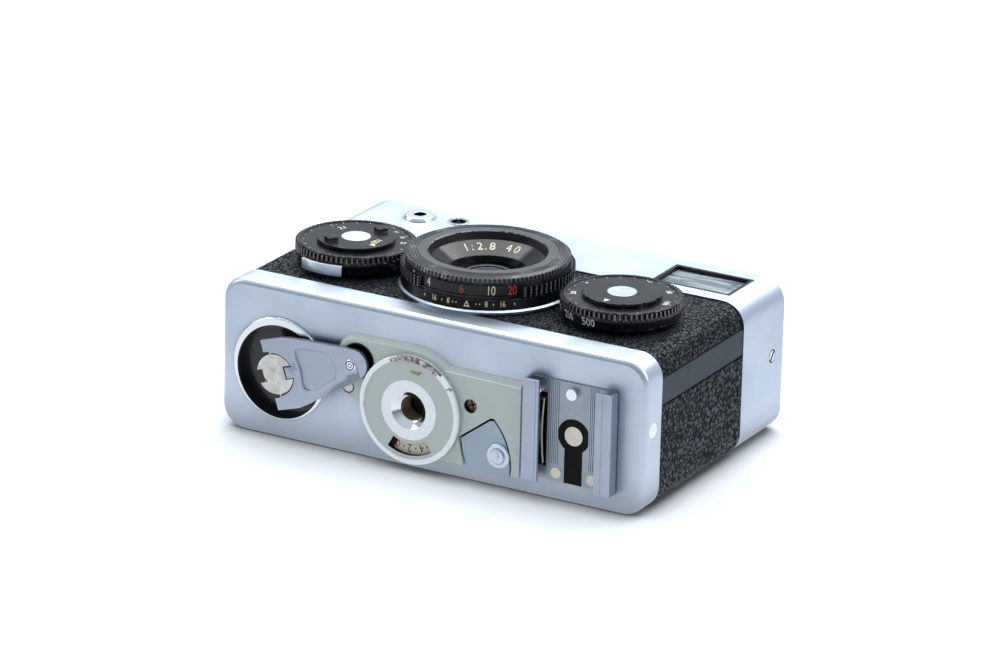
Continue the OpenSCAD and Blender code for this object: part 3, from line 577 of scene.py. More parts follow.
class Workshop:
    """Holds the materials and finishes pieces."""

    def __init__(self) -> None:
        """Build every material and look up the nodes' bodies and slots."""
        effects = Effects()
        record = frame["record"]
        self.paints = {paint: paint.value.build(effects) for paint in Paint}
        self.body_of = {node: body for body, nodes in record["behaviour"]["bodies"].items()
                        for node in nodes}
        self.slot_of = {part["node"]: part["material_slot"] for part in record["subparts"]}

    def coat(self, piece: Piece, paint: Paint) -> None:
        """Give a piece one finish all over.

        Args:
            piece: the piece.
            paint: its finish.
        """
        if not piece.material_slots:
            piece.data.materials.append(self.paints[paint])
        for slot in piece.material_slots:
            slot.material = self.paints[paint]

    def place(self, piece: Piece, paint: Paint, body: str, slot: str) -> None:
        """Finish a new piece and put it on its body.

        Args:
            piece: the piece.
            paint: its finish.
            body: the body that it moves with.
            slot: the record's material slot that it belongs to; not used.
        """
        self.coat(piece, paint)
        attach(piece, body)
        LOG.info("%s on %s, %d faces", piece.name, body, len(piece.data.polygons))

    def stand_in(self, piece: Piece, paint: Paint, node: str) -> None:
        """Finish a new piece that stands for a CAD node, put it on the node's body, and hide the
        node.
        """
        self.place(piece, paint, self.body_of[node], self.slot_of[node])
        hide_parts(node)

    def paint_faces(self, piece: Piece, paint: Paint, wanted: Callable[[Vector], bool]) -> None:
        """Give some faces of a piece another finish.

        Args:
            piece: the piece.
            paint: the faces' finish.
            wanted: test on the middle of a face, in millimetres.
        """
        piece.data.materials.append(self.paints[paint])
        index = len(piece.data.materials) - 1
        for face in piece.data.polygons:
            if wanted(face.center / MM):
                face.material_index = index


# ---------------------------------------------------------------- modelling helpers

@dataclass(frozen=True)
class Box:
    """The lowest and highest corners of a CAD node, in millimetres."""

    low: Vector
    high: Vector

    @classmethod
    def of(cls, node: str) -> "Box":
        """Measure a node."""
        low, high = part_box(node)
        return cls(Vector(low) / MM, Vector(high) / MM)

    @property
    def middle(self) -> Vector:
        """Its middle."""
        return (self.low + self.high) / 2

    @property
    def radius(self) -> float:
        """Half its width along X."""
        return (self.high.x - self.low.x) / 2


def polar(centre: Point, radius: float, degrees: float) -> Vector:
    """The point at a radius and an angle round a centre, in two dimensions."""
    turn = math.radians(degrees)
    return Vector((centre[0] + radius * math.cos(turn), centre[1] + radius * math.sin(turn)))


def arc(centre: Point, radius: float, start: float, end: float, count: int) -> list[Vector]:
    """Points along an arc in two dimensions.

    Args:
        centre, radius: the arc's centre and radius.
        start, end: the angles of its ends in degrees.
        count: number of points, its ends included.

    Returns:
        The points.
    """
    return [polar(centre, radius, start + (end - start) * i / (count - 1)) for i in range(count)]


def off(at: Vector, spot: Point) -> float:
    """Distance from a point to the line along Y through a spot in X and Z."""
    return math.hypot(at.x - spot[0], at.z - spot[1])


def deselect() -> None:
    """Go to object mode with nothing selected."""
    if bpy.context.object and bpy.context.object.mode != "OBJECT":
        bpy.ops.object.mode_set(mode="OBJECT")
    bpy.ops.object.select_all(action="DESELECT")


def take(piece: Piece) -> None:
    """Select one piece alone and make it active."""
    deselect()
    piece.select_set(True)
    bpy.context.view_layer.objects.active = piece


def settle(piece: Piece) -> None:
    """Move a piece's place into its mesh."""
    take(piece)
    bpy.ops.object.transform_apply(location=True, rotation=True, scale=True)


def edit(piece: Piece) -> None:
    """Enter edit mode on a piece with everything selected."""
    take(piece)
    bpy.ops.object.mode_set(mode="EDIT")
    bpy.ops.mesh.select_all(action="SELECT")


def edit_edges(piece: Piece, wanted: Callable[[Vector, Vector], bool]) -> None:
    """Enter edit mode with some edges selected.

    Args:
        piece: the piece.
        wanted: test on an edge's two ends, in millimetres.
    """
    edit(piece)
    bpy.ops.mesh.select_mode(type="EDGE")
    bpy.ops.mesh.select_all(action="DESELECT")
    bpy.ops.object.mode_set(mode="OBJECT")
    for edge in piece.data.edges:
        edge.select = wanted(*(piece.data.vertices[i].co / MM for i in edge.vertices))
    bpy.ops.object.mode_set(mode="EDIT")


def bevel(radius: float, steps: int) -> None:
    """Round the selected edges and leave edit mode."""
    bpy.ops.mesh.bevel(offset=radius * MM, segments=steps, affect="EDGES")
    bpy.ops.object.mode_set(mode="OBJECT")


def mend(doubles: Optional[float] = None) -> None:
    """Turn all faces outwards and leave edit mode.

    Args:
        doubles: distance within which points are merged first, if any.
    """
    bpy.ops.mesh.select_all(action="SELECT")
    if doubles:
        bpy.ops.mesh.remove_doubles(threshold=doubles * MM)
    bpy.ops.mesh.normals_make_consistent(inside=False)
    bpy.ops.object.mode_set(mode="OBJECT")


def apply_modifier(piece: Piece, kind: str, **settings: object) -> None:
    """Add a modifier and apply it.

    Args:
        piece: the piece.
        kind: the modifier's type.
        settings: its settings by name.
    """
    take(piece)
    modifier = piece.modifiers.new(kind.lower(), kind)
    for name, value in settings.items():
        setattr(modifier, name, value)
    bpy.ops.object.modifier_apply(modifier=modifier.name)


def smooth(piece: Piece, degrees: float, weighted: bool = False) -> None:
    """Shade a piece smooth.

    Args:
        piece: the piece.
        degrees: angle above which an edge stays sharp.
        weighted: whether large faces stay flat beside small ones.
    """
    take(piece)
    bpy.ops.object.shade_smooth_by_angle(angle=math.radians(degrees))
    if weighted:
        apply_modifier(piece, "WEIGHTED_NORMAL", keep_sharp=True)


def block(name: str, low: Point, high: Point) -> Piece:
    """Add a block.

    Args:
        name: the piece's name.
        low, high: its corners.

    Returns:
        The piece.
    """
    deselect()
    low, high = Vector(low) * MM, Vector(high) * MM
    bpy.ops.mesh.primitive_cube_add(size=1.0, location=(low + high) / 2)
    piece = bpy.context.object
    piece.name = name
    piece.scale = high - low
    settle(piece)
    return piece


def rod(name: str, centre: Point, radius: float, length: float, axis: str = "Z") -> Piece:
    """Add a cylinder.

    Args:
        name: the piece's name.
        centre: its middle.
        radius, length: its size.
        axis: "X", "Y" or "Z".

    Returns:
        The piece.
    """
    deselect()
    turn = {"X": (0, math.pi / 2, 0), "Y": (math.pi / 2, 0, 0), "Z": (0, 0, 0)}[axis]
    bpy.ops.mesh.primitive_cylinder_add(vertices=96, radius=radius * MM, depth=length * MM,
                                        location=Vector(centre) * MM, rotation=turn)
    piece = bpy.context.object
    piece.name = name
    settle(piece)
    return piece


def trace(name: str, points: Sequence[Point], fill: str) -> Piece:
    """Add a closed line and enter edit mode on it.

    Args:
        name: the piece's name.
        points: the line's points.
        fill: "NGON" for a face inside it, or "NOTHING".

    Returns:
        The piece.
    """
    deselect()
    bpy.ops.mesh.primitive_circle_add(vertices=len(points), radius=1.0, fill_type=fill)
    piece = bpy.context.object
    piece.name = name
    for vertex, point in zip(piece.data.vertices, points):
        vertex.co = Vector(point) * MM
    edit(piece)
    return piece


def prism(name: str, outline: Sequence[Point], start: float, end: float,
          axis: str = "Y") -> Piece:
    """Extrude an outline.

    Args:
        name: the piece's name.
        outline: its points, in X and Z for an axis along Y, else in X and Y.
        start, end: where the extrusion starts and ends along the axis.
        axis: "Y" or "Z".

    Returns:
        The piece.
    """
    upright = axis == "Z"
    piece = trace(name, [(a, b, start) if upright else (a, start, b) for a, b in outline], "NGON")
    step = (end - start) * MM
    bpy.ops.mesh.extrude_region_move(
        TRANSFORM_OT_translate={"value": (0, 0, step) if upright else (0, step, 0)})
    mend()
    return piece


def bar(name: str, middle: Point, size: Sizes, start: float, end: float, axis: str = "Y",
        turn: float = 0.0) -> Piece:
    """Extrude a rectangle.

    Args:
        name: the piece's name.
        middle, size: the rectangle's middle, its length and its width.
        start, end, axis: as for a prism.
        turn: angle of its length in degrees.

    Returns:
        The piece.
    """
    along = polar((0, 0), size[0] / 2, turn)
    side = polar((0, 0), size[1] / 2, turn + 90)
    middle = Vector(middle)
    return prism(name, [middle + along + side, middle - along + side, middle - along - side,
                        middle + along - side], start, end, axis)


def turned(name: str, centre: Point, profile: Sequence[Point], axis: str = "Z",
           steps: int = 96) -> Piece:
    """Turn a closed profile about a line through a point.

    Args:
        name: the piece's name.
        centre: a point of the line.
        profile: radius and height of each point; heights run along +Z, or along -Y, which is
            outwards from the base plate.
        axis: "Z" or "Y".
        steps: sides of the turned form.

    Returns:
        The piece.
    """
    upright = axis == "Z"
    piece = trace(name, [(radius, 0, height) if upright else (radius, -height, 0)
                         for radius, height in profile], "NOTHING")
    bpy.ops.mesh.spin(steps=steps, angle=2 * math.pi, center=(0, 0, 0),
                      axis=(0, 0, 1) if upright else (0, 1, 0))
    mend(0.0005)
    for vertex in piece.data.vertices:
        vertex.co += Vector(centre) * MM
    smooth(piece, 35.0)
    return piece


def turned_out(name: str, spot: Point, profile: Sequence[Point], steps: int = 48) -> Piece:
    """Turn a profile about a line out of the base shell's face, through a spot in X and Z."""
    return turned(name, (spot[0], FACE, spot[1]), profile, "Y", steps)


def cut(piece: Piece, tools: Sequence[Piece]) -> None:
    """Cut tools out of a piece and remove them."""
    for tool in tools:
        apply_modifier(piece, "BOOLEAN", operation="DIFFERENCE", object=tool, solver="EXACT")
        bpy.data.objects.remove(tool)


def join(pieces: Sequence[Piece], name: str) -> Piece:
    """Join pieces into one.

    Args:
        pieces: the pieces, at least one.
        name: name of the result.

    Returns:
        The piece.
    """
    deselect()
    for piece in pieces:
        piece.select_set(True)
    bpy.context.view_layer.objects.active = pieces[0]
    if len(pieces) > 1:
        bpy.ops.object.join()
    pieces[0].name = name
    return pieces[0]


def cad_copy(name: str, node: str) -> Piece:
    """Copy a CAD node's mesh, with its triangles merged and its flat faces made whole.

    Args:
        name: the copy's name.
        node: the CAD node.

    Returns:
        The copy.
    """
    piece = bpy.data.objects.new(name, frame["nodes"][node].data.copy())
    bpy.context.scene.collection.objects.link(piece)
    edit(piece)
    bpy.ops.mesh.remove_doubles(threshold=0.002 * MM)
    bpy.ops.mesh.dissolve_limited(angle_limit=math.radians(0.5))
    bpy.ops.object.mode_set(mode="OBJECT")
    return piece


class Part:
    """Anything of the camera that is built in the workshop."""

    def build(self, shop: Workshop) -> object:
        """Make the pieces, finish them and put them on their bodies.

        Args:
            shop: the workshop that finishes them.

        Returns:
            The piece, where there is just one that others go on to change, else None.
        """
        raise NotImplementedError


@dataclass
class EdgedPart(Part):
    """A CAD piece whose sharp edges get a small round, so that they catch the light.

    Attributes:
        node: the CAD node.
        paint: its finish.
        edge: width of the rounded edge.
        steps: segments of the rounding.
        shape: changes made to the copy before its edges are rounded.
    """

    node: str
    paint: Paint
    edge: float = 0.08
    steps: int = 2
    shape: Optional[Callable[[Piece], None]] = None

    def build(self, shop: Workshop) -> Piece:
        """Make the piece and let it stand for its node."""
        piece = cad_copy(self.node + "_edged", self.node)
        if self.shape:
            self.shape(piece)
        apply_modifier(piece, "BEVEL", width=self.edge * MM, segments=self.steps,
                       limit_method="ANGLE", angle_limit=math.radians(32),
                       use_clamp_overlap=True)
        smooth(piece, 32.0, weighted=True)
        shop.stand_in(piece, self.paint, self.node)
        return piece


# ---------------------------------------------------------------- body

@dataclass
class Case(Part):
    """The two metal shells of the body.

    Attributes:
        corner: radius of the long edges.
        fillet: radius of the end edges.
        skin: thickness of the sheet.
        top_heads, base_heads: Y and Z of the heads in the shells' ends, and their holes' radius.
    """

    corner: float = 5.0
    fillet: float = 1.3
    skin: float = 1.0
    top_heads: Sizes = (24.3, 17.5, 1.76)
    base_heads: Sizes = (-26.9, 17.7, 1.66)

    @staticmethod
    def rounded_block(name: str, low: Point, high: Point, radius: float) -> Piece:
        """Model a block whose four edges along Y are round; see block."""
        piece = block(name, low, high)
        edit_edges(piece, lambda a, b: abs(a.y - b.y) > 1.0)
        bevel(radius, 20)
        return piece

    def shell(self, node: str, out: float) -> Piece:
        """Model a shell, open on one side.

        Args:
            node: the CAD node that it stands for.
            out: -1 where its closed end faces -Y, 1 where it faces +Y.

        Returns:
            The shell.
        """
        box = Box.of(node)
        end, mouth = (box.high.y, box.low.y) if out > 0 else (box.low.y, box.high.y)
        piece = self.rounded_block(node + "_shell", box.low, box.high, self.corner)
        edit_edges(piece, lambda a, b: abs(a.y - end) < 0.001 and abs(b.y - end) < 0.001)
        bevel(self.fillet, 8)
        near, far = sorted((end - out * self.skin, mouth - out * 50.0))
        cut(piece, [self.rounded_block(
            "tool", (box.low.x + self.skin, near, box.low.z + self.skin),
            (box.high.x - self.skin, far, box.high.z - self.skin), self.corner - self.skin)])
        return piece

    @staticmethod
    def window(node: str, below: Point, above: Point) -> Piece:
        """Model a tool for a node's opening: its box, grown below and above."""
        box = Box.of(node)
        return block("tool", box.low - Vector(below), box.high + Vector(above))

    @staticmethod
    def bore(node: str, axis: str, length: float, radius: Optional[float] = None,
             face: str = "high") -> Piece:
        """Model a tool for a node's round hole.

        Args:
            node: the node, whose middle the hole goes through.
            axis: the hole's direction.
            length: the tool's length.
            radius: the hole's radius; the node's own where there is none.
            face: "high" or "low", the end of the node's box that the tool is centred on.

        Returns:
            The tool.
        """
        box = Box.of(node)
        centre = box.middle
        index = "XYZ".index(axis)
        centre[index] = getattr(box, face)[index]
        return rod("tool", centre, radius or (box.high.z - box.low.z) / 2, length, axis)

    @staticmethod
    def pockets(y: float, z: float, radius: float) -> list[Piece]:
        """Model the tools for a pair of heads sunk in the two ends."""
        box = Box.of("base_shell")
        return [rod("tool", (x, y, z), radius, 0.8, "X") for x in (box.low.x, box.high.x)]

    def build(self, shop: Workshop) -> None:
        """Make both shells with their openings."""
        top = [self.window("viewfinder_frame", (0, 0, 4), (0, 0, 4)),
               self.window("eyepiece", (0.05, 0.05, 3), (0.05, 0.05, 0.1)),
               self.bore("meter_cell", "Z", 8.0, 2.6), self.bore("sync_socket", "Z", 8.0, 1.9),
               self.bore("shutter_collar", "Y", 12.0, 3.7),
               self.bore("lens_release", "Y", 12.0, 2.1),
               self.window("meter_glass", (0, 1, 0), (0, 2, 0)), *self.pockets(*self.top_heads)]
        base = [self.bore("crank_well", "Y", 9.0, face="low"),
                self.bore("knob_pocket", "Y", 9.0, 3.75, "low"),
                self.bore("tripod_bush", "Y", 9.0, face="low"),
                self.window("shoe_spring", (0.5, 0, 0.6), (1.0, 5, 1.2)),
                *self.pockets(*self.base_heads)]
        for node, out, tools in (("top_shell", 1.0, top), ("base_shell", -1.0, base)):
            piece = self.shell(node, out)
            cut(piece, tools)
            smooth(piece, 30.0, weighted=True)
            shop.stand_in(piece, Paint.SHELL, node)


@dataclass
class Covering(Part):
    """Leather wrapped round part of the body's section, with real relief.

    Attributes:
        node: the CAD node that it stands for.
        paint: its finish.
        front: whether it wraps the front edges or the back ones.
        cell: size of the relief's cells.
        relief: height of the relief.
        step: spacing of the mesh.
        corner: radius of the body's long edges.
        thick: thickness of the leather under its relief.
    """

    node: str
    paint: Paint
    front: bool
    cell: float
    relief: float
    step: float
    corner: float = 5.0
    thick: float = 0.5

    def path(self, box: Box) -> tuple[Callable[[float], Vector], float]:
        """The wrap's line in X and Z.

        Args:
            box: the covering's box.

        Returns:
            A function from the distance along the line to a point, and its length.
        """
        radius = self.corner
        side = (box.high.z - box.low.z) - radius
        bend = radius * math.pi / 2
        total = 2 * (side + bend + box.radius - radius)
        top, sign = (box.high.z, 1.0) if self.front else (box.low.z, -1.0)

        def point(s: float) -> Vector:
            """The point at a distance along the line."""
            mirror = s > total / 2
            t = total - s if mirror else s
            x, z = box.low.x + t - side - bend + radius, top
            if t < side:
                x, z = box.low.x, top - sign * (radius + side - t)
            elif t < side + bend:
                turn = (t - side) / radius
                x = box.low.x + radius * (1 - math.cos(turn))
                z = top - sign * radius * (1 - math.sin(turn))
            return Vector((box.low.x + box.high.x - x if mirror else x, 0.0, z))

        return point, total

    def sheet(self, box: Box) -> Piece:
        """Model the smooth wrap, so far inside its box that the relief has room."""
        point, total = self.path(box)
        high = box.high.y - box.low.y
        deselect()
        bpy.ops.mesh.primitive_grid_add(x_subdivisions=round(total / self.step),
                                        y_subdivisions=round(high / self.step), size=1.0)
        piece = bpy.context.object
        piece.name = self.node + "_hide"
        inset = self.relief * 1.3 + 0.02
        sign = 1 if self.front else -1
        for vertex in piece.data.vertices:
            s = (vertex.co.x + 0.5) * total
            ahead = point(min(total, s + 0.01)) - point(max(0.0, s - 0.01))
            out = Vector((-ahead.z, 0.0, ahead.x)).normalized() * sign
            at = point(s) - out * inset
            at.y = box.low.y + (vertex.co.y + 0.5) * high
            vertex.co = at * MM
        if piece.data.polygons[len(piece.data.polygons) // 2].normal.z * sign < 0:
            edit(piece)
            bpy.ops.mesh.flip_normals()
            bpy.ops.object.mode_set(mode="OBJECT")
        return piece

    def build(self, shop: Workshop) -> None:
        """Make the covering and let it stand for its node."""
        box = Box.of(self.node)
        piece = self.sheet(box)
        pebbles = bpy.data.textures.new(self.node + "_pebbles", "VORONOI")
        pebbles.noise_scale = self.cell * MM
        pebbles.weight_1, pebbles.weight_2 = -1.0, 1.0
        apply_modifier(piece, "DISPLACE", texture=pebbles, texture_coords="LOCAL",
                       strength=self.relief * MM, mid_level=0.0)
        low, high = box.low * MM, box.high * MM
        for vertex in piece.data.vertices:
            vertex.co = Vector(min(max(v, a), b) for v, a, b in zip(vertex.co, low, high))
        apply_modifier(piece, "SOLIDIFY", thickness=self.thick * MM, offset=-1.0)
        if self.front:
            ring = Box.of("lens_base_ring")
            cut(piece, [rod("tool", ring.middle, ring.radius - 1.4, 100.0),
                        *(rod("tool", Box.of(dial).middle, 4.0, 100.0)
                          for dial in ("aperture_dial", "shutter_dial"))])
        smooth(piece, 60.0)
        shop.stand_in(piece, self.paint, self.node)


# ---------------------------------------------------------------- base plate

@dataclass
class Panel(Part):
    """The base plate's raised panel with its boss, bright rim and threaded bush.

    Attributes:
        rise: height of the panel.
        lobe, lobe_radius: middle of the panel's lobe in X and Z, and its radius.
        pocket, pocket_radius: the same of the hollow for the crank's knob.
        round: radius of the panel about the boss.
        top, left: Z above which its upper edge lies, and X of its left edge.
        lean: how far the edges lean in: the lobe's, the upper and the left one.
    """

    rise: float = 1.1
    lobe: Point = (-16.7, 21.65)
    lobe_radius: float = 4.4
    pocket: Point = (-16.05, 20.7)
    pocket_radius: float = 3.75
    round: float = 13.4
    top: float = 23.3
    left: float = -20.65
    lean: Sizes = (1.05, 1.25, 1.0)

    def lean_edges(self, piece: Piece) -> None:
        """Lean the panel's upper and left edges in towards its face."""
        lobe, boss, pocket = (Vector(v) for v in (self.lobe, BOSS, self.pocket))
        for vertex in piece.data.vertices:
            x, y, z = vertex.co / MM
            at = Vector((x, z))
            if (abs(FACE - y - self.rise) > 0.01
                    or abs((at - pocket).length - self.pocket_radius) < 0.02):
                continue
            from_lobe, from_boss = at - lobe, at - boss
            if abs(from_lobe.length - self.lobe_radius) < 0.03 and x < self.lobe[0] + 0.2:
                at -= from_lobe * self.lean[0] / self.lobe_radius
            elif abs(from_boss.length - self.round) < 0.03 and z > self.top:
                at -= from_boss * self.lean[1] / self.round
            elif z > self.top:
                at.y -= self.lean[1]
            elif abs(x - self.left) < 0.05:
                at.x += self.lean[2]
            vertex.co = Vector((at.x, y, at.y)) * MM

    @staticmethod
    def stained(at: Vector) -> bool:
        """Whether a place on the rim is stained, in one long wavy patch and a thin one."""
        turn = math.degrees(math.atan2(at.z - BOSS[1], at.x - BOSS[0]))
        wave = 4.0 * math.sin(at.z * 2.3 + at.x) + 3.0 * math.sin(off(at, BOSS) * 9.0)
        return 50 + wave < turn < 108 + wave or 33 < turn + wave * 0.5 < 37

    def boss(self, shop: Workshop) -> None:
        """Make the boss with its bright rim, painted shade on its counter window's walls, a black
        sheet of painted shade at the window's end, and a worn spot.
        """
        boss = EdgedPart("socket_boss", Paint.PLATE).build(shop)
        # Painted shade on the walls of the counter's window.
        shop.paint_faces(boss, Paint.SHADOW, lambda at: 6.8 < off(at, BOSS) < 9.7
                         and 1.2 < FACE - at.y < 2.25)
        rim = turned_out("boss_rim", BOSS, [(10.22, 2.2), (10.34, 2.49), (11.12, 2.49),
                                            (11.36, 2.24), (11.37, 1.9), (10.22, 1.9)], 180)
        shop.place(rim, Paint.RIM, "back_unit", "bright_alloy")
        shop.paint_faces(rim, Paint.STAIN, self.stained)
        # A black sheet at the window's left end, painted shade.
        shade_outline = arc(BOSS, 9.45, -118.5, -113.0, 6) + arc(BOSS, 7.05, -111.5, -118.5, 6)
        shop.place(prism("counter_window_shade", shade_outline, FACE - 1.8, FACE - 1.35), Paint.SHADOW,
                   "back_unit", "black_gloss")
        patch = [(-0.08, 8.35), (0.76, 8.65), (1.84, 8.5), (2.56, 8.7), (2.92, 8.4),
                 (2.44, 8.05), (2.08, 7.65), (1.6, 7.9), (1.0, 7.8), (0.28, 8.1)]
        shop.place(prism("boss_worn_spot", [(BOSS[0] + a, BOSS[1] + b) for a, b in patch],
                         FACE - 2.31, FACE - 2.25), Paint.BRASS, "back_unit", "brass")

    @staticmethod
    def bush(shop: Workshop) -> None:
        """Make the washer and the thread of the tripod socket."""
        bush = turned_out("bush", BOSS, [(2.6, -2.6), (6.29, -2.6), (6.29, 2.3), (6.2, 2.4),
                                         (3.95, 2.4), (3.85, 2.32), (3.0, 1.25), (2.9, 1.15),
                                         (2.6, 0.9)], 128)
        shop.stand_in(bush, Paint.WASHER, "tripod_bush")
        shop.paint_faces(bush, Paint.CHROME,
                         lambda at: off(at, BOSS) < 3.9 and FACE - at.y > 1)
        shop.paint_faces(bush, Paint.THREAD, lambda at: off(at, BOSS) < 2.65)
        pitch, first, turns = 0.7, 0.8, 5
        crests = [(radius, first - k * pitch - down) for k in range(turns)
                  for radius, down in ((2.58, 0), (2.25, 0.25), (2.25, 0.4), (2.58, 0.66))]
        ridge = turned_out("socket_thread", BOSS, crests + [(2.59, -2.68), (2.59, 0.81)], 64)
        shop.place(ridge, Paint.THREAD, "back_unit", "bright_alloy")
        shop.paint_faces(ridge, Paint.NICKEL, lambda at: off(at, BOSS) < 2.27)

    def build(self, shop: Workshop) -> None:
        """Make the panel and all that stands on it."""
        panel = EdgedPart("base_panel", Paint.PLATE, 0.12, shape=self.lean_edges).build(shop)
        shop.paint_faces(panel, Paint.RIM, lambda at: at.x > 5 and at.z > 20
                         and 0.95 < FACE - at.y < self.rise - 0.005)
        # Painted shade on the walls of the panel screw's hole.
        shop.paint_faces(panel, Paint.SHADOW, lambda at: off(at, PANEL_SCREW) < 1.6
                         and FACE - at.y < self.rise - 0.05)
        self.boss(shop)
        self.bush(shop)


@dataclass
class Latch(Part):
    """The back's latch, its button, and a black sheet in the gap round it, painted shade.

    Attributes:
        pivot: the latch's pivot in X and Z.
        reach, sweep: radius of the gap's arc about the pivot, and its two angles in degrees.
        gap: the other corners of the gap, from the one after the arc on.
    """

    pivot: Point = (5.74, 4.9)
    reach: float = 13.57
    sweep: Sizes = (-5.7106, 44.6770)
    gap: Sequence[Point] = ((14.55, 14.66), (7.45, 9.35), (8.9, 6.0), (12.0, 3.6), (18.6, 3.55))

    def build(self, shop: Workshop) -> None:
        """Make the pieces."""
        EdgedPart("back_latch", Paint.LATCH, 0.06).build(shop)
        EdgedPart("latch_button", Paint.BUTTON, 0.05, 3).build(shop)
        # A black sheet under the gap round the latch, painted shade.
        outline = [*arc(self.pivot, self.reach, *self.sweep, 16), *self.gap]
        shop.place(prism("latch_gap_shade", outline, FACE - 0.06, FACE - 0.005), Paint.SHADOW,
                   "back_unit", "black_gloss")


@dataclass
class Crank(Part):
    """The rewind crank, its hub, ring and riveted knob.

    Attributes:
        pivot: the crank's pivot in X and Z.
        turn: direction of the arm in degrees.
        hollow: outline of the arm's hollow, along the arm and across it.
        top, bottom: heights above the base shell's face between which it is cut.
        slope: shares by which its outline widens at the top and narrows at the bottom.
        grooves: inner and outer radius of each groove in the knob's face.
    """

    pivot: Point = (-34.7, 14.3)
    turn: float = 17.5
    hollow: Sequence[Point] = (
        (6.1, 4.6), (8.0, 4.75), (12.9, 3.4), (14.3, 2.6), (14.8, 1.2), (14.8, -1.2), (14.2, -2.5),
        (8.3, -4.45), (6.8, -4.4), (5.9, -3.7), (5.8, -2.2), (6.2, 0.0), (5.8, 2.8))
    top: float = 3.0
    bottom: float = 1.85
    slope: Sizes = (0.12, 0.1)
    grooves: Sequence[Sizes] = ((0.3, 0.46), (0.78, 0.98))

    def hollow_arm(self, piece: Piece) -> None:
        """Sink the arm's rounded triangular hollow, whose walls slope."""
        along, across = polar((0, 0), 1.0, self.turn), polar((0, 0), 1.0, self.turn + 90)
        outline = [Vector(self.pivot) + u * along + v * across for u, v in self.hollow]
        tool = prism("tool", outline, FACE - self.top, FACE - self.bottom)
        middle = sum(outline, Vector((0, 0))) / len(outline) * MM
        for vertex in tool.data.vertices:
            high = FACE - vertex.co.y / MM > (self.top + self.bottom) / 2
            share = -self.slope[0] if high else self.slope[1]
            vertex.co.x += (middle.x - vertex.co.x) * share
            vertex.co.z += (middle.y - vertex.co.z) * share
        cut(piece, [tool])

    def knob(self, shop: Workshop) -> None:
        """Make the knob with the two grooves of its rivet, painted dark as shade."""
        box = Box.of("crank_knob")
        centre = (box.middle.x, box.low.y, box.middle.z)
        knob = cad_copy("crank_knob_riveted", "crank_knob")
        cut(knob, [turned("tool", centre, [(a, 0.1), (b, 0.1), (b, -0.17), (a, -0.17)], "Y", 48)
                   for a, b in self.grooves])
        smooth(knob, 35.0)
        shop.stand_in(knob, Paint.BRIGHT, "crank_knob")
        # Painted shade in the rivet's grooves.
        shop.paint_faces(knob, Paint.SHADOW, lambda at: 0.02 < at.y - centre[1] < 0.3 and any(
            a - 0.01 < math.hypot(at.x - centre[0], at.z - centre[2]) < b + 0.01
            for a, b in self.grooves))

    def build(self, shop: Workshop) -> None:
        """Make the pieces."""
        EdgedPart("crank_ring", Paint.CHROME).build(shop)
        EdgedPart("rewind_shaft", Paint.HUB).build(shop)
        EdgedPart("crank_arm", Paint.CRANK, 0.16, 3, self.hollow_arm).build(shop)
        self.knob(shop)


@dataclass
class Shoe(Part):
    """The accessory shoe with the ribs beside its rails and dark lines of painted shade between
    them, its stop pin, and its spring with a pale strip as a painted highlight.

    Attributes:
        base: how far the shoe's base stands out of the base shell's face.
        ribs: X of the first rib and number of ribs, beside each rail.
        pitch: distance between ribs.
        rib, groove: width and height of a rib and of the dark line of painted shade beside it.
        span: lowest and highest Z of the ribs.
        pin: place of the stop pin in X and Z.
        tabs: Z of the spring's two tabs.
        bow: X of the spring's painted highlight at its ends, and how far it bows.
    """

    base: float = 0.35
    ribs: Sequence[tuple[float, int]] = ((26.95, 6), (36.1, 5))
    pitch: float = 0.42
    rib: Sizes = (0.18, 0.05)
    groove: Sizes = (0.16, 0.012)
    span: Sizes = (7.8, 25.2)
    pin: Point = (25.2, 22.9)
    tabs: Sizes = (7.35, 21.2)
    bow: Sizes = (26.2, 0.4)

    def lines(self, name: str, size: Sizes, shift: float) -> Piece:
        """Model one line of a width and height beside each rib's place."""
        wide, high = size
        middle, long = sum(self.span) / 2, self.span[1] - self.span[0]
        return join([bar("line", (start + k * self.pitch + shift + wide / 2, middle),
                         (wide, long), FACE - self.base - high, FACE - self.base + 0.01)
                     for start, count in self.ribs for k in range(count)], name)

    def build(self, shop: Workshop) -> None:
        """Make the pieces."""
        EdgedPart("shoe_base", Paint.SHOE, 0.04).build(shop)
        EdgedPart("shoe_rails", Paint.CRANK, 0.14, 3).build(shop)
        shop.place(self.lines("shoe_ribs", self.rib, 0.0), Paint.CRANK, "back_unit", "steel")
        # Dark lines between the ribs, painted shade.
        shop.place(self.lines("shoe_groove_shade", self.groove, self.rib[0]), Paint.GROOVE,
                   "back_unit", "steel")
        shop.place(turned_out("shoe_pin", self.pin, [(0, 1.5), (0.45, 1.5), (0.6, 1.35),
                                                     (0.6, -0.8), (0, -0.8)], 32),
                   Paint.BRIGHT, "back_unit", "nickel")
        tabs = [bar("tab", (25.25, z + 0.14), (2.1, 0.28), FACE - 1.7, FACE + 0.8)
                for z in self.tabs]
        shop.place(join(tabs, "spring_tabs"), Paint.BRASS, "back_unit", "brass")
        # A pale strip along the spring leaf, a painted highlight.
        edge, depth = self.bow
        bow = [(edge - depth * math.sin(math.pi * t / 10), 7.7 + 1.35 * t) for t in range(11)]
        lit_edge = prism("spring_highlight", bow + [(x + 0.16, z) for x, z in reversed(bow)],
                     FACE - 0.95, FACE - 0.6)
        shop.place(lit_edge, Paint.CREAM, "back_unit", "brass")


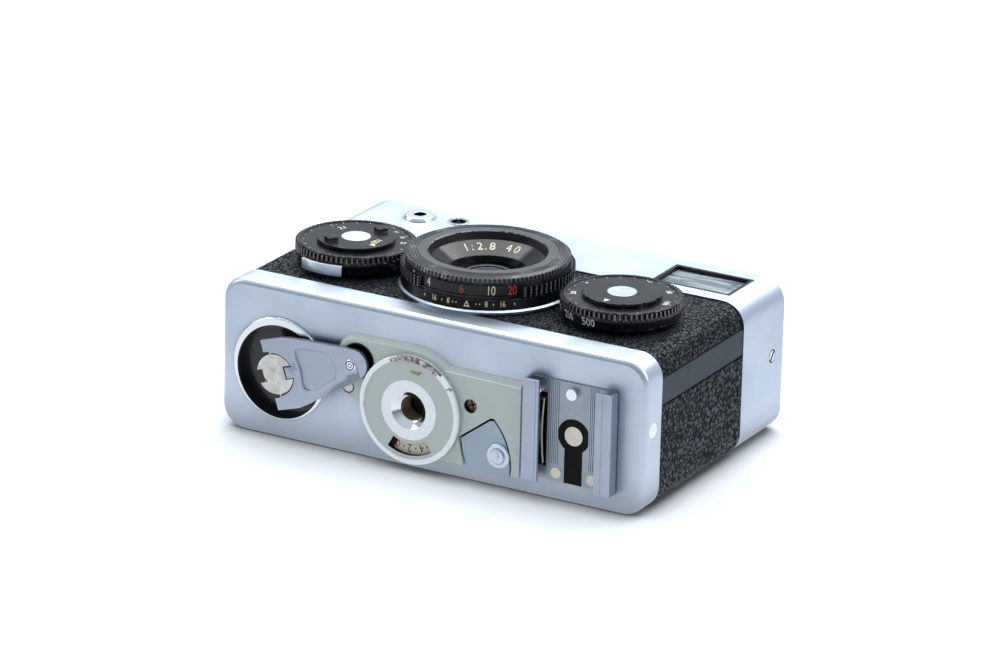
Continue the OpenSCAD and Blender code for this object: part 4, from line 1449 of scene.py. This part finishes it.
@dataclass
class Fasteners(Part):
    """The heads on the base plate and in the base shell's ends.

    Attributes:
        shoe_head: the upper head beside the shoe, in X and Z.
        lobe_head: the head in the panel's lobe.
        ring: inner and outer radius of the ring round the panel screw.
        cross: half the length and half the width of its slots.
    """

    shoe_head: Point = (32.5, 23.3)
    lobe_head: Point = (-18.2, 14.8)
    ring: Sizes = (1.05, 1.6)
    cross: Sizes = (0.95, 0.16)

    def sink_ring(self, piece: Piece) -> None:
        """Sink a ring round the panel screw's head."""
        inner, outer = self.ring
        cut(piece, [turned_out("tool", PANEL_SCREW, [(inner, -0.35), (outer, -0.35),
                                                     (outer, 0.4), (inner, 0.4)])])

    def build(self, shop: Workshop) -> None:
        """Make the heads."""
        inner, outer = self.ring
        heads = EdgedPart("base_fasteners", Paint.NICKEL, 0.1, 3, self.sink_ring).build(shop)
        shop.place(turned_out("lobe_head", self.lobe_head, [(0, 1.15), (1.05, 1.15), (1.15, 1.1),
                                                            (1.15, 0.9), (0, 0.9)]),
                   Paint.NICKEL, "back_unit", "nickel")
        # A black ring round the lobe's head, painted shade.
        shop.place(turned_out("lobe_ring_shade", self.lobe_head, [(1.15, 1.12), (1.38, 1.12),
                                                            (1.38, 0.9), (1.15, 0.9)]),
                   Paint.SHADOW, "back_unit", "black_gloss")
        shop.paint_faces(heads, Paint.RUST, lambda at: off(at, PANEL_SCREW) < outer)
        # Painted shade in the ring sunk round the panel screw's head.
        shop.paint_faces(heads, Paint.SHADOW,
                         lambda at: inner - 0.01 < off(at, PANEL_SCREW) < outer)
        shop.paint_faces(heads, Paint.BRIGHT,
                         lambda at: abs(at.x) > 47 or off(at, self.shoe_head) < 1.4)
        # Black bars in the panel screw's slots, painted shade.
        cross = [bar("slot", PANEL_SCREW, [2 * size for size in self.cross], FACE - 0.17,
                     FACE - 0.1, turn=angle) for angle in (20.0, 110.0)]
        shop.place(join(cross, "panel_screw_slot_shade"), Paint.SHADOW, "back_unit", "nickel")


# ---------------------------------------------------------------- figures

@dataclass
class Lettering:
    """Raised paint figures, set flat or round a ring.

    Attributes:
        height: height of a figure.
        narrow: width of the figures over their natural width.
        thick: how far they stand out.
    """

    height: float
    narrow: float
    thick: float = 0.03

    UP: ClassVar[Vector] = Vector((0, 0, 1))

    def mesh(self, words: str) -> Piece:
        """Model some figures, centred on the origin in the plane of X and Y."""
        deselect()
        bpy.ops.object.text_add()
        piece = bpy.context.object
        text = piece.data
        text.body = words
        text.align_x = text.align_y = "CENTER"
        text.size = self.height * MM * 1.38
        text.extrude = self.thick * MM
        text.resolution_u = 3
        bpy.ops.object.convert(target="MESH")
        piece.scale.x = self.narrow
        settle(piece)
        return piece

    @staticmethod
    def put(piece: Piece, place: Vector, up: Vector, face: Vector) -> Piece:
        """Stand a flat piece at a place.

        Args:
            piece: the piece, flat in X and Y with its middle on the origin.
            place: where its middle goes.
            up, face: where its top and its face point.

        Returns:
            The piece.
        """
        piece.matrix_world = Matrix.Translation(place * MM) @ Matrix(
            (up.cross(face), up, face)).transposed().to_4x4()
        settle(piece)
        return piece

    @classmethod
    def on_wall(cls, piece: Piece, centre: Point, radius: float, angle: float,
                lean: float = 0.0) -> Piece:
        """Set a flat piece on the wall of a ring about Z.

        Args:
            piece: the piece, flat in X and Y with its middle on the origin.
            centre: the ring's centre at the piece's height.
            radius: the wall's radius.
            angle: place round the ring in degrees, from +X towards +Y.
            lean: slope of the wall in degrees, positive where it leans in upwards.

        Returns:
            The piece.
        """
        out, tilt = polar((0, 0), 1.0, angle).to_3d(), math.radians(lean)
        return cls.put(piece, Vector(centre) + out * radius,
                       cls.UP * math.cos(tilt) - out * math.sin(tilt),
                       out * math.cos(tilt) + cls.UP * math.sin(tilt))

    def on_face(self, words: str, centre: Point, radius: float, angle: float,
                slope: float = 0.0) -> Piece:
        """Set figures on a face about Z, their tops outwards.

        Args:
            words: the figures.
            centre: the face's centre at their height.
            radius, angle: their place round it; the angle is in degrees, from +X towards +Y.
            slope: how steeply the face rises outwards, in degrees.

        Returns:
            The piece.
        """
        out, rise = polar((0, 0), 1.0, angle).to_3d(), math.radians(slope)
        return self.put(self.mesh(words), Vector(centre) + out * radius,
                        out * math.cos(rise) + self.UP * math.sin(rise),
                        self.UP * math.cos(rise) - out * math.sin(rise))

    def on_base(self, words: str, centre: Point, radius: float, angle: float) -> Piece:
        """Set figures on a face that looks along -Y, their tops outwards; see on_face."""
        x, z = polar((0, 0), 1.0, angle)
        up = Vector((x, 0, z))
        return self.put(self.mesh(words), Vector(centre) + up * radius, up, Vector((0, -1, 0)))


@dataclass
class Counter(Part):
    """The figures and dots round the frame counter's disc.

    Attributes:
        count: number of figures; each stands for two frames.
        red: places of the red ones.
        radius: radius of the figures' circle.
        start: angle of the first figure in degrees.
        dot, dot_turn: radius of a dot, and its angle from the figure before it.
    """

    count: int = 19
    red: tuple[int, ...] = (0, 6, 10, 18)
    radius: float = 8.3
    start: float = -110.0
    dot: float = 0.2
    dot_turn: float = 9.5

    def build(self, shop: Workshop) -> None:
        """Set the figures and the dots."""
        digits = Lettering(1.75, 0.85, 0.02)
        surface = Box.of("counter_disc").low.y
        black, red = [], []
        for k in range(self.count):
            turn = self.start + k * 360.0 / self.count
            (red if k in self.red else black).append(
                digits.on_base(str(2 * k), (BOSS[0], surface, BOSS[1]), self.radius, turn))
            at = polar(BOSS, self.radius, turn + self.dot_turn)
            black.append(prism("dot", [polar(at, self.dot, 36 * i) for i in range(10)],
                               surface - 0.02, surface + 0.01))
        shop.place(join(black, "counter_figures"), Paint.INK, "counter", "cream_enamel")
        shop.place(join(red, "counter_figures_red"), Paint.RED, "counter", "cream_enamel")


@dataclass
class LensMarkings(Part):
    """The figures round the lens: distances, depth of field, and the lens's own figures.

    Attributes:
        near, near_red: distances and their angles round the lens, in cream and in red.
        depth: apertures of the depth scale and their angles.
        ticks: angle and height of each of its ticks.
        index: angle of the index mark.
        lean: slope of the depth scale's wall in degrees.
        own: the figures on the front cone and their angles.
    """

    near: Sequence[tuple[str, float]] = (("4", -105.0), ("10", -58.5), ("2", -122.0))
    near_red: Sequence[tuple[str, float]] = (("6", -78.75), ("20", -43.75))
    depth: Sequence[tuple[str, float]] = (("16", -98.5), ("8", -87.5), ("8", -61.5),
                                          ("16", -50.75))
    ticks: Sequence[Sizes] = ((-106.75, 0.5), (-92.25, 0.4), (-56.75, 0.4), (-42.5, 0.5),
                              (-84.2, 0.3), (-81.8, 0.3), (-68.2, 0.3), (-65.8, 0.3))
    index: float = -74.5
    lean: float = 11.0
    own: Sequence[tuple[str, float]] = (("1", 146.0), (":", 138.0), ("2", 129.0), (".", 122.0),
                                        ("8", 114.0), ("4", 94.0), ("0", 83.0))

    @staticmethod
    def mark(size: float = 1.25) -> Piece:
        """Model a hollow triangle, centred on the origin in the plane of X and Y."""
        half, inner = size / 2, size * 0.36 / 1.4
        piece = prism("mark", [(-half, -half), (half, -half), (0, half)], -0.03, 0.03, "Z")
        cut(piece, [prism("tool", [(-inner, 0.22 - half), (inner, 0.22 - half), (0, half - 0.45)],
                          -1, 1, "Z")])
        return piece

    def distances(self, shop: Workshop, axis: Vector) -> None:
        """Set the distance scale on a black sleeve round the focus ring."""
        box = Box.of("focus_ring")
        wall = box.radius - 0.85
        face = wall - 0.02
        shop.place(turned("focus_sleeve", (axis.x, axis.y, box.low.z),
                          [(face - 0.3, 0.48), (face, 0.48), (face, 2.53), (face - 0.3, 2.53)],
                          steps=128), Paint.BLACK, "focus", "black_enamel")
        band = Lettering(2.0, 0.68)
        for name, paint, marks in (("distance_figures", Paint.IVORY, self.near),
                                   ("distance_figures_red", Paint.RED, self.near_red)):
            pieces = [band.on_wall(band.mesh(words), (axis.x, axis.y, box.low.z + 1.5), wall,
                                   angle) for words, angle in marks]
            shop.place(join(pieces, name), paint, "focus", "black_enamel")

    def build(self, shop: Workshop) -> None:
        """Set all the figures."""
        axis = Box.of("focus_ring").middle
        self.distances(shop, axis)
        ring, small = Box.of("depth_scale_ring"), Lettering(1.15, 0.8)
        flat = [(small.mesh(words), angle) for words, angle in self.depth]
        flat += [(bar("tick", (0, 0), (0.18, tall), -0.03, 0.03, "Z"), angle)
                 for angle, tall in self.ticks]
        flat.append((self.mark(), self.index))
        pieces = [small.on_wall(piece, (axis.x, axis.y, ring.middle.z), ring.radius - 0.2,
                                angle, self.lean) for piece, angle in flat]
        shop.place(join(pieces, "depth_figures"), Paint.IVORY, "lens_barrel", "black_enamel")
        at = (axis.x, axis.y, Box.of("name_ring").high.z - 0.98)
        pieces = [Lettering(2.0, 0.95).on_face(word, at, 9.85, angle, 31.0)
                  for word, angle in self.own]
        shop.place(join(pieces, "lens_figures"), Paint.IVORY, "lens_barrel", "black_enamel")


@dataclass
class DialMarkings(Part):
    """The figures, ticks and disc of one of the two dials.

    Attributes:
        node, body: the dial and the body that it turns with.
        disc, disc_body: the disc on it, and that disc's body.
        face: figures on the dial's face.
        first, step: angle of the first figure, and from one to the next, in degrees.
        pointer: angle of the disc's pointer.
        wall, wall_first, wall_step: the same of the figures on the dial's wall.
        ratings: figure, radius and angle of each figure on the disc.
        sunk: how far the disc's face lies below its highest point.
    """

    node: str
    body: str
    disc: str
    disc_body: str
    face: Sequence[str]
    first: float
    step: float
    pointer: float
    wall: Sequence[str] = ()
    wall_first: float = -94.5
    wall_step: float = -26.0
    ratings: Sequence[tuple[str, float, float]] = ()
    sunk: float = 0.0

    def disc_figures(self, shop: Workshop) -> None:
        """Set the disc's figures and its pointer."""
        box = Box.of(self.disc)
        middle = (box.middle.x, box.middle.y)
        top = box.high.z - self.sunk
        pieces = [Lettering(1.5, 0.9, 0.02).on_face(words, (*middle, top), radius, angle)
                  for words, radius, angle in self.ratings]
        foot = polar(middle, 5.9, self.pointer)
        side = polar((0, 0), 0.6, self.pointer + 90)
        pieces.append(prism("pointer", [polar(middle, 7.4, self.pointer), foot + side,
                                        foot - side], top - 0.02, top + 0.02, "Z"))
        shop.place(join(pieces, self.disc + "_figures"), Paint.IVORY, self.disc_body,
                   "black_enamel")

    def build(self, shop: Workshop) -> None:
        """Set the figures and the ticks."""
        box = Box.of(self.node)
        middle = (box.middle.x, box.middle.y)
        top = box.high.z - 0.25
        skirt, face = Lettering(1.75, 0.85), Lettering(1.1, 0.8, 0.02)
        pieces = [skirt.on_wall(skirt.mesh(words), (*middle, box.low.z + 1.55),
                                box.radius - 0.22, self.wall_first + k * self.wall_step, -14.0)
                  for k, words in enumerate(self.wall)]
        pieces += [face.on_face(words, (*middle, top), 9.6, self.first + k * self.step)
                   for k, words in enumerate(self.face)]
        for k in range(24):
            long = 0.25 if k % 3 else 0.45
            pieces.append(bar("tick", polar(middle, 10.85 - long / 2, k * 15), (long, 0.1),
                              top - 0.02, top + 0.02, "Z", k * 15))
        shop.place(join(pieces, self.node + "_figures"), Paint.WHITE, self.body, "black_enamel")
        self.disc_figures(shop)


# ---------------------------------------------------------------- studio

@dataclass
class Studio:
    """Floor, lamps, surroundings and viewpoint.

    Attributes:
        azimuth, elevation, roll: the viewpoint's direction and roll, in degrees.
        distance: from the viewpoint to its target, in metres.
        target: the point that the view is centred on, in metres.
        focal: focal length in millimetres on a sensor 36 mm wide.
        painted_shadow_reach: how far the painted contact shadow round the body reaches over the
            floor, in metres.
        floor_glow: strength of the floor's own light where the camera sees it.
        horizon, zenith, upper: strength of the surroundings' light from the sides and from
            above, and what the side towards +Y adds.
        lamps: name, place, aim, size and power of each lamp.
    """

    azimuth: float = 28.88
    elevation: float = 19.89
    roll: float = 1.44
    distance: float = 1.16149
    target: Point = (0.02309, -0.04374, 0.03803)
    focal: float = 216.0
    painted_shadow_reach: float = 0.007
    floor_glow: float = 0.31
    horizon: float = 0.16
    zenith: float = 0.72
    upper: float = 0.42
    lamps: Sequence[tuple] = (
        ("overhead", (-0.1, 0.45, 1.0), (0, 0, 0), (1.6, 1.1), 26.0),
        ("left", (-1.2, -0.5, 0.7), (0, 0, 0.02), (0.8, 0.8), 4.0),
        ("right", (1.3, 0.1, 0.7), (0, 0, 0.02), (0.6, 0.9), 5.0))

    def camera(self) -> None:
        """Add the viewpoint."""
        az, el, roll = (math.radians(v) for v in (self.azimuth, self.elevation, self.roll))
        back = Vector((math.sin(az) * math.cos(el), -math.cos(az) * math.cos(el), math.sin(el)))
        right = (-back).cross(Vector((0, 0, 1))).normalized()
        up = right.cross(-back)
        right, up = (right * math.cos(roll) + up * math.sin(roll),
                     up * math.cos(roll) - right * math.sin(roll))
        data = bpy.data.cameras.new("camera")
        data.lens = self.focal
        data.sensor_width = 36.0
        data.clip_start, data.clip_end = 0.05, 50.0
        camera = bpy.data.objects.new("camera", data)
        bpy.context.scene.collection.objects.link(camera)
        place = Matrix((right, up, back)).transposed().to_4x4()
        place.translation = Vector(self.target) + back * self.distance
        camera.matrix_world = place
        bpy.context.scene.camera = camera

    @staticmethod
    def seen(graph: Graph) -> Socket:
        """Mask of the rays for which the floor and the surroundings are white."""
        path = graph.add("LightPath")
        return graph.math("MAXIMUM", path.outputs["Is Camera Ray"],
                          path.outputs["Is Transmission Ray"])

    def floor(self) -> None:
        """Add the pale floor, which keeps the body's shadow, with a painted contact shadow beside
        the body and, in reflections, a painted pool of light near it.
        """
        deselect()
        bpy.ops.mesh.primitive_plane_add(size=12.0)
        floor = bpy.context.object
        floor.name = "floor"
        material = bpy.data.materials.new("floor")
        material.use_nodes = True
        graph = Graph(material.node_tree)
        seen = self.seen(graph)
        # Painted contact shadow: ambient occlusion darkens the floor's colour and, where the
        # camera sees it, its glow beside the body.
        near = graph.add("AmbientOcclusion", {"Distance": self.painted_shadow_reach}, samples=8)
        clear = graph.span(near.outputs["AO"], 0.25, 0.8)
        paint = graph.add("BsdfPrincipled", {
            "Roughness": 0.6, "Specular IOR Level": 0.1,
            "Base Color": graph.blend(graph.times(seen, clear), (0.24, 0.255, 0.27),
                                      (0.50, 0.52, 0.55))})
        # Painted pool of light: in reflections the floor glows more near the body than further
        # off.
        away = graph.add("VectorMath", {0: graph.here()}, operation="LENGTH").outputs["Value"]
        glow = graph.add("Emission", {"Color": rgba((1, 1, 1)), "Strength": graph.between(
            seen, graph.span(away, 0.04, 0.17, 0.66, self.floor_glow),
            graph.times(clear, self.floor_glow))})
        both = graph.add("AddShader", {0: paint.outputs[0], 1: glow.outputs[0]})
        graph.add("OutputMaterial", {"Surface": both.outputs[0]})
        floor.data.materials.append(material)

    @staticmethod
    def softbox(name: str, place: Point, aim: Point, size: Sizes, power: float) -> None:
        """Add a rectangular lamp.

        Args:
            name: its name.
            place, aim: where it stands and where it points, in metres.
            size: its two sides in metres.
            power: its power in watts.
        """
        data = bpy.data.lights.new(name, "AREA")
        data.shape = "RECTANGLE"
        data.size, data.size_y = size
        data.energy = power
        lamp = bpy.data.objects.new(name, data)
        bpy.context.scene.collection.objects.link(lamp)
        lamp.location = place
        lamp.rotation_euler = (Vector(aim) - Vector(place)).to_track_quat("-Z", "Y").to_euler()

    def world(self) -> None:
        """Set the soft surroundings: darker towards the horizon, and seen as white."""
        world = bpy.data.worlds.new("studio")
        bpy.context.scene.world = world
        world.use_nodes = True
        graph = Graph(world.node_tree)
        way = graph.add("SeparateXYZ", {0: graph.add("TexCoord").outputs["Generated"]})
        lit = graph.math("ADD", graph.span(way.outputs[2], 0.0, 0.8, self.horizon, self.zenith),
                         graph.span(way.outputs[1], 0.1, 0.9, 0.0, self.upper))
        seen = self.seen(graph)
        glow = graph.add("Background", {
            "Strength": graph.between(seen, lit, 1.0),
            "Color": graph.blend(seen, (0.82, 0.91, 1.0), (1.0, 1.0, 1.0))})
        graph.add("OutputWorld", {"Surface": glow.outputs[0]})

    def build(self) -> None:
        """Add everything round the camera."""
        bpy.context.scene.view_settings.view_transform = "Standard"
        self.camera()
        self.floor()
        self.world()
        for lamp in self.lamps:
            self.softbox(*lamp)


# ---------------------------------------------------------------- small parts and the camera

@dataclass
class HighlitRing(Part):
    """A ring about Z whose knurl tips are painted lighter grey as a painted highlight.

    Attributes:
        node, paint: the CAD node and its finish.
        depth: depth of the knurl tips that get the painted highlight.
        floor: Z above which they lie.
    """

    node: str
    paint: Paint
    depth: float
    floor: float

    def build(self, shop: Workshop) -> None:
        """Make the ring and let it stand for its node."""
        piece = cad_copy(self.node + "_highlit", self.node)
        smooth(piece, 12.0, weighted=True)
        shop.stand_in(piece, self.paint, self.node)
        box = Box.of(self.node)
        middle = box.middle
        # Painted highlight: the knurls' outermost faces get a lighter grey.
        shop.paint_faces(piece, Paint.STUD, lambda at: at.z > self.floor and math.hypot(
            at.x - middle.x, at.y - middle.y) > box.radius - self.depth)


@dataclass
class Fitting(Part):
    """A small round fitting in the top shell's front, with painted shade inside its bore.

    Attributes:
        node, paint: the CAD node and its finish.
        edge: width of its rounded edges.
        hole: radius of the bore.
    """

    node: str
    paint: Paint
    edge: float
    hole: float = 1.5

    def build(self, shop: Workshop) -> None:
        """Make the fitting."""
        piece = EdgedPart(self.node, self.paint, self.edge).build(shop)
        box = Box.of(self.node)
        middle, top = box.middle, box.high.z - 0.1
        # Painted shade inside the bore.
        shop.paint_faces(piece, Paint.SHADOW, lambda at: at.z < top and math.hypot(
            at.x - middle.x, at.y - middle.y) < self.hole)


@dataclass
class Finder(Part):
    """The finder's stepped front glass, with painted reflections in streaks, stronger on its inner
    lens.

    Attributes:
        shift: how far the inner lens lies from the glass's middle, towards +X.
        half: half its width and half its height.
    """

    shift: float = 0.6
    half: Sizes = (5.1, 3.2)

    def build(self, shop: Workshop) -> None:
        """Make the glass."""
        piece = EdgedPart("viewfinder_glass", Paint.FINDER, 0.15).build(shop)
        middle = Box.of("viewfinder_glass").middle
        # The inner lens takes the finish with stronger painted reflections.
        shop.paint_faces(piece, Paint.LENS, lambda at: at.z > middle.z
                         and abs(at.x - middle.x - self.shift) < self.half[0]
                         and abs(at.y - middle.y) < self.half[1])


@dataclass
class EndScrews(Part):
    """The slotted screws in the ends of the top shell, painted dark as shade in their sunk rings
    and slots.

    Attributes:
        head: radius of a head, and how much of it is modelled.
        ring: inner and outer radius of the ring sunk in it, and the ring's depth.
        slot: halves of the slot's depth, length and width.
        turn: the slot's angle in degrees.
    """

    head: Sizes = (1.74, 0.4)
    ring: Sizes = (1.2, 1.5, 0.25)
    slot: Sizes = (0.22, 1.15, 0.3)
    turn: float = -50.0

    def screw(self, end: float, side: int, y: float, z: float) -> Piece:
        """Model one head, at an X, on the left (-1) or the right (1)."""
        radius, deep = self.head
        inner, outer, sunk = self.ring
        centre, half = Vector((end, y, z)), Vector(self.slot)
        head = rod("head", (end - side * deep / 2, y, z), radius, deep, "X")
        ring = rod("tool", centre, outer, 2 * sunk, "X")
        cut(ring, [rod("tool", centre, inner, 1.0, "X")])
        slot = block("tool", centre - half, centre + half)
        bpy.ops.transform.rotate(value=math.radians(self.turn * side), orient_axis="X",
                                 center_override=centre * MM)
        settle(slot)
        cut(head, [ring, slot])
        return head

    def build(self, shop: Workshop) -> None:
        """Make both screws."""
        box = Box.of("shell_screws")
        piece = join([self.screw(end, side, box.middle.y, box.middle.z)
                      for end, side in ((box.low.x, -1), (box.high.x, 1))], "end_screws")
        smooth(piece, 30.0)
        shop.stand_in(piece, Paint.BRIGHT, "shell_screws")
        # Painted shade on all faces but the heads' outer faces: the sunk rings, the slots and the
        # sides.
        shop.paint_faces(piece, Paint.SHADOW, lambda at: abs(at.x) < box.high.x - 0.05)


class CameraModel(Part):
    """The whole camera: the CAD nodes that only get a finish, and the parts to build."""

    plain: ClassVar[dict[Paint, str]] = {
        Paint.CASTING: "chassis viewfinder_tunnel meter_housing pressure_plate takeup_spool"
                       " dial_seats",
        Paint.GLOSS: "viewfinder_frame eyepiece name_ring",
        Paint.CHROME: "shutter_collar shutter_button lens_release lens_tube",
        Paint.STEEL: "sprocket back_cover",
        Paint.SHELL: "lens_base_ring",
        Paint.BLACK: "lens_core depth_scale_ring",
        Paint.COATED: "rear_glass front_glass",
        Paint.CLEAR: "meter_glass",
        Paint.NEEDLE: "meter_needle",
        Paint.CREAM: "counter_disc",
        Paint.WELL: "crank_well knob_pocket",
        Paint.SHADOW: "shoe_insulator",
        Paint.NICKEL: "shoe_contact",
        Paint.BRASS: "shoe_spring",
    }
    parts: ClassVar[tuple[Part, ...]] = (
        Case(),
        Covering("front_leather", Paint.FINE_HIDE, True, 1.25, 0.24, 0.3),
        Covering("back_leather", Paint.COARSE_HIDE, False, 1.8, 0.3, 0.33),
        EdgedPart("rewind_release", Paint.SHELL, 0.12),
        EdgedPart("advance_lever", Paint.SHELL, 0.2),
        EdgedPart("dial_screws", Paint.BRIGHT, 0.06),
        EdgedPart("film_speed_disc", Paint.BLACK),
        EdgedPart("film_reminder_disc", Paint.BLACK),
        EdgedPart("aperture_lock", Paint.BRIGHT, 0.1),
        EdgedPart("side_bands", Paint.BAND, 0.06),
        Fitting("sync_socket", Paint.CHROME, 0.03),
        Fitting("meter_cell", Paint.BRIGHT, 0.06),
        HighlitRing("focus_ring", Paint.GLOSS, 0.2, 35.0),
        HighlitRing("front_bezel", Paint.SATIN, 0.12, 35.0),
        HighlitRing("aperture_dial", Paint.BLACK, 0.15, 35.75),
        HighlitRing("shutter_dial", Paint.BLACK, 0.15, 35.75),
        EndScrews(), Finder(), Panel(), Latch(), Crank(), Shoe(), Fasteners(), Counter(),
        LensMarkings(),
        DialMarkings("shutter_dial", "shutter_speed", "film_reminder_disc", "film_reminder",
                     ("1000", "100", "25", "50", "B", "200"), 4.0, 40.0, -91.5,
                     ("500", "250", "125", "60", "30", "15", "8", "4", "2", "1")),
        DialMarkings("aperture_dial", "aperture", "film_speed_disc", "film_speed",
                     ("22", "16", "11", "8", "5.6", "4", "2.8"), 21.0, 21.0, -28.0,
                     ratings=(("100", 5.2, -8.0), ("21", 5.6, 150.0)), sunk=0.9),
    )

    def build(self, shop: Workshop) -> None:
        """Build every part in order, then finish the nodes that stay as they are."""
        for part in self.parts:
            part.build(shop)
        for paint, nodes in self.plain.items():
            for node in nodes.split():
                shop.coat(frame["nodes"][node], paint)


def main() -> None:
    """Build the studio and the camera."""
    logging.basicConfig(level=logging.INFO, format="%(name)s: %(message)s")
    Studio().build()
    CameraModel().build(Workshop())
    deselect()


if __name__ == "__main__":
    main()
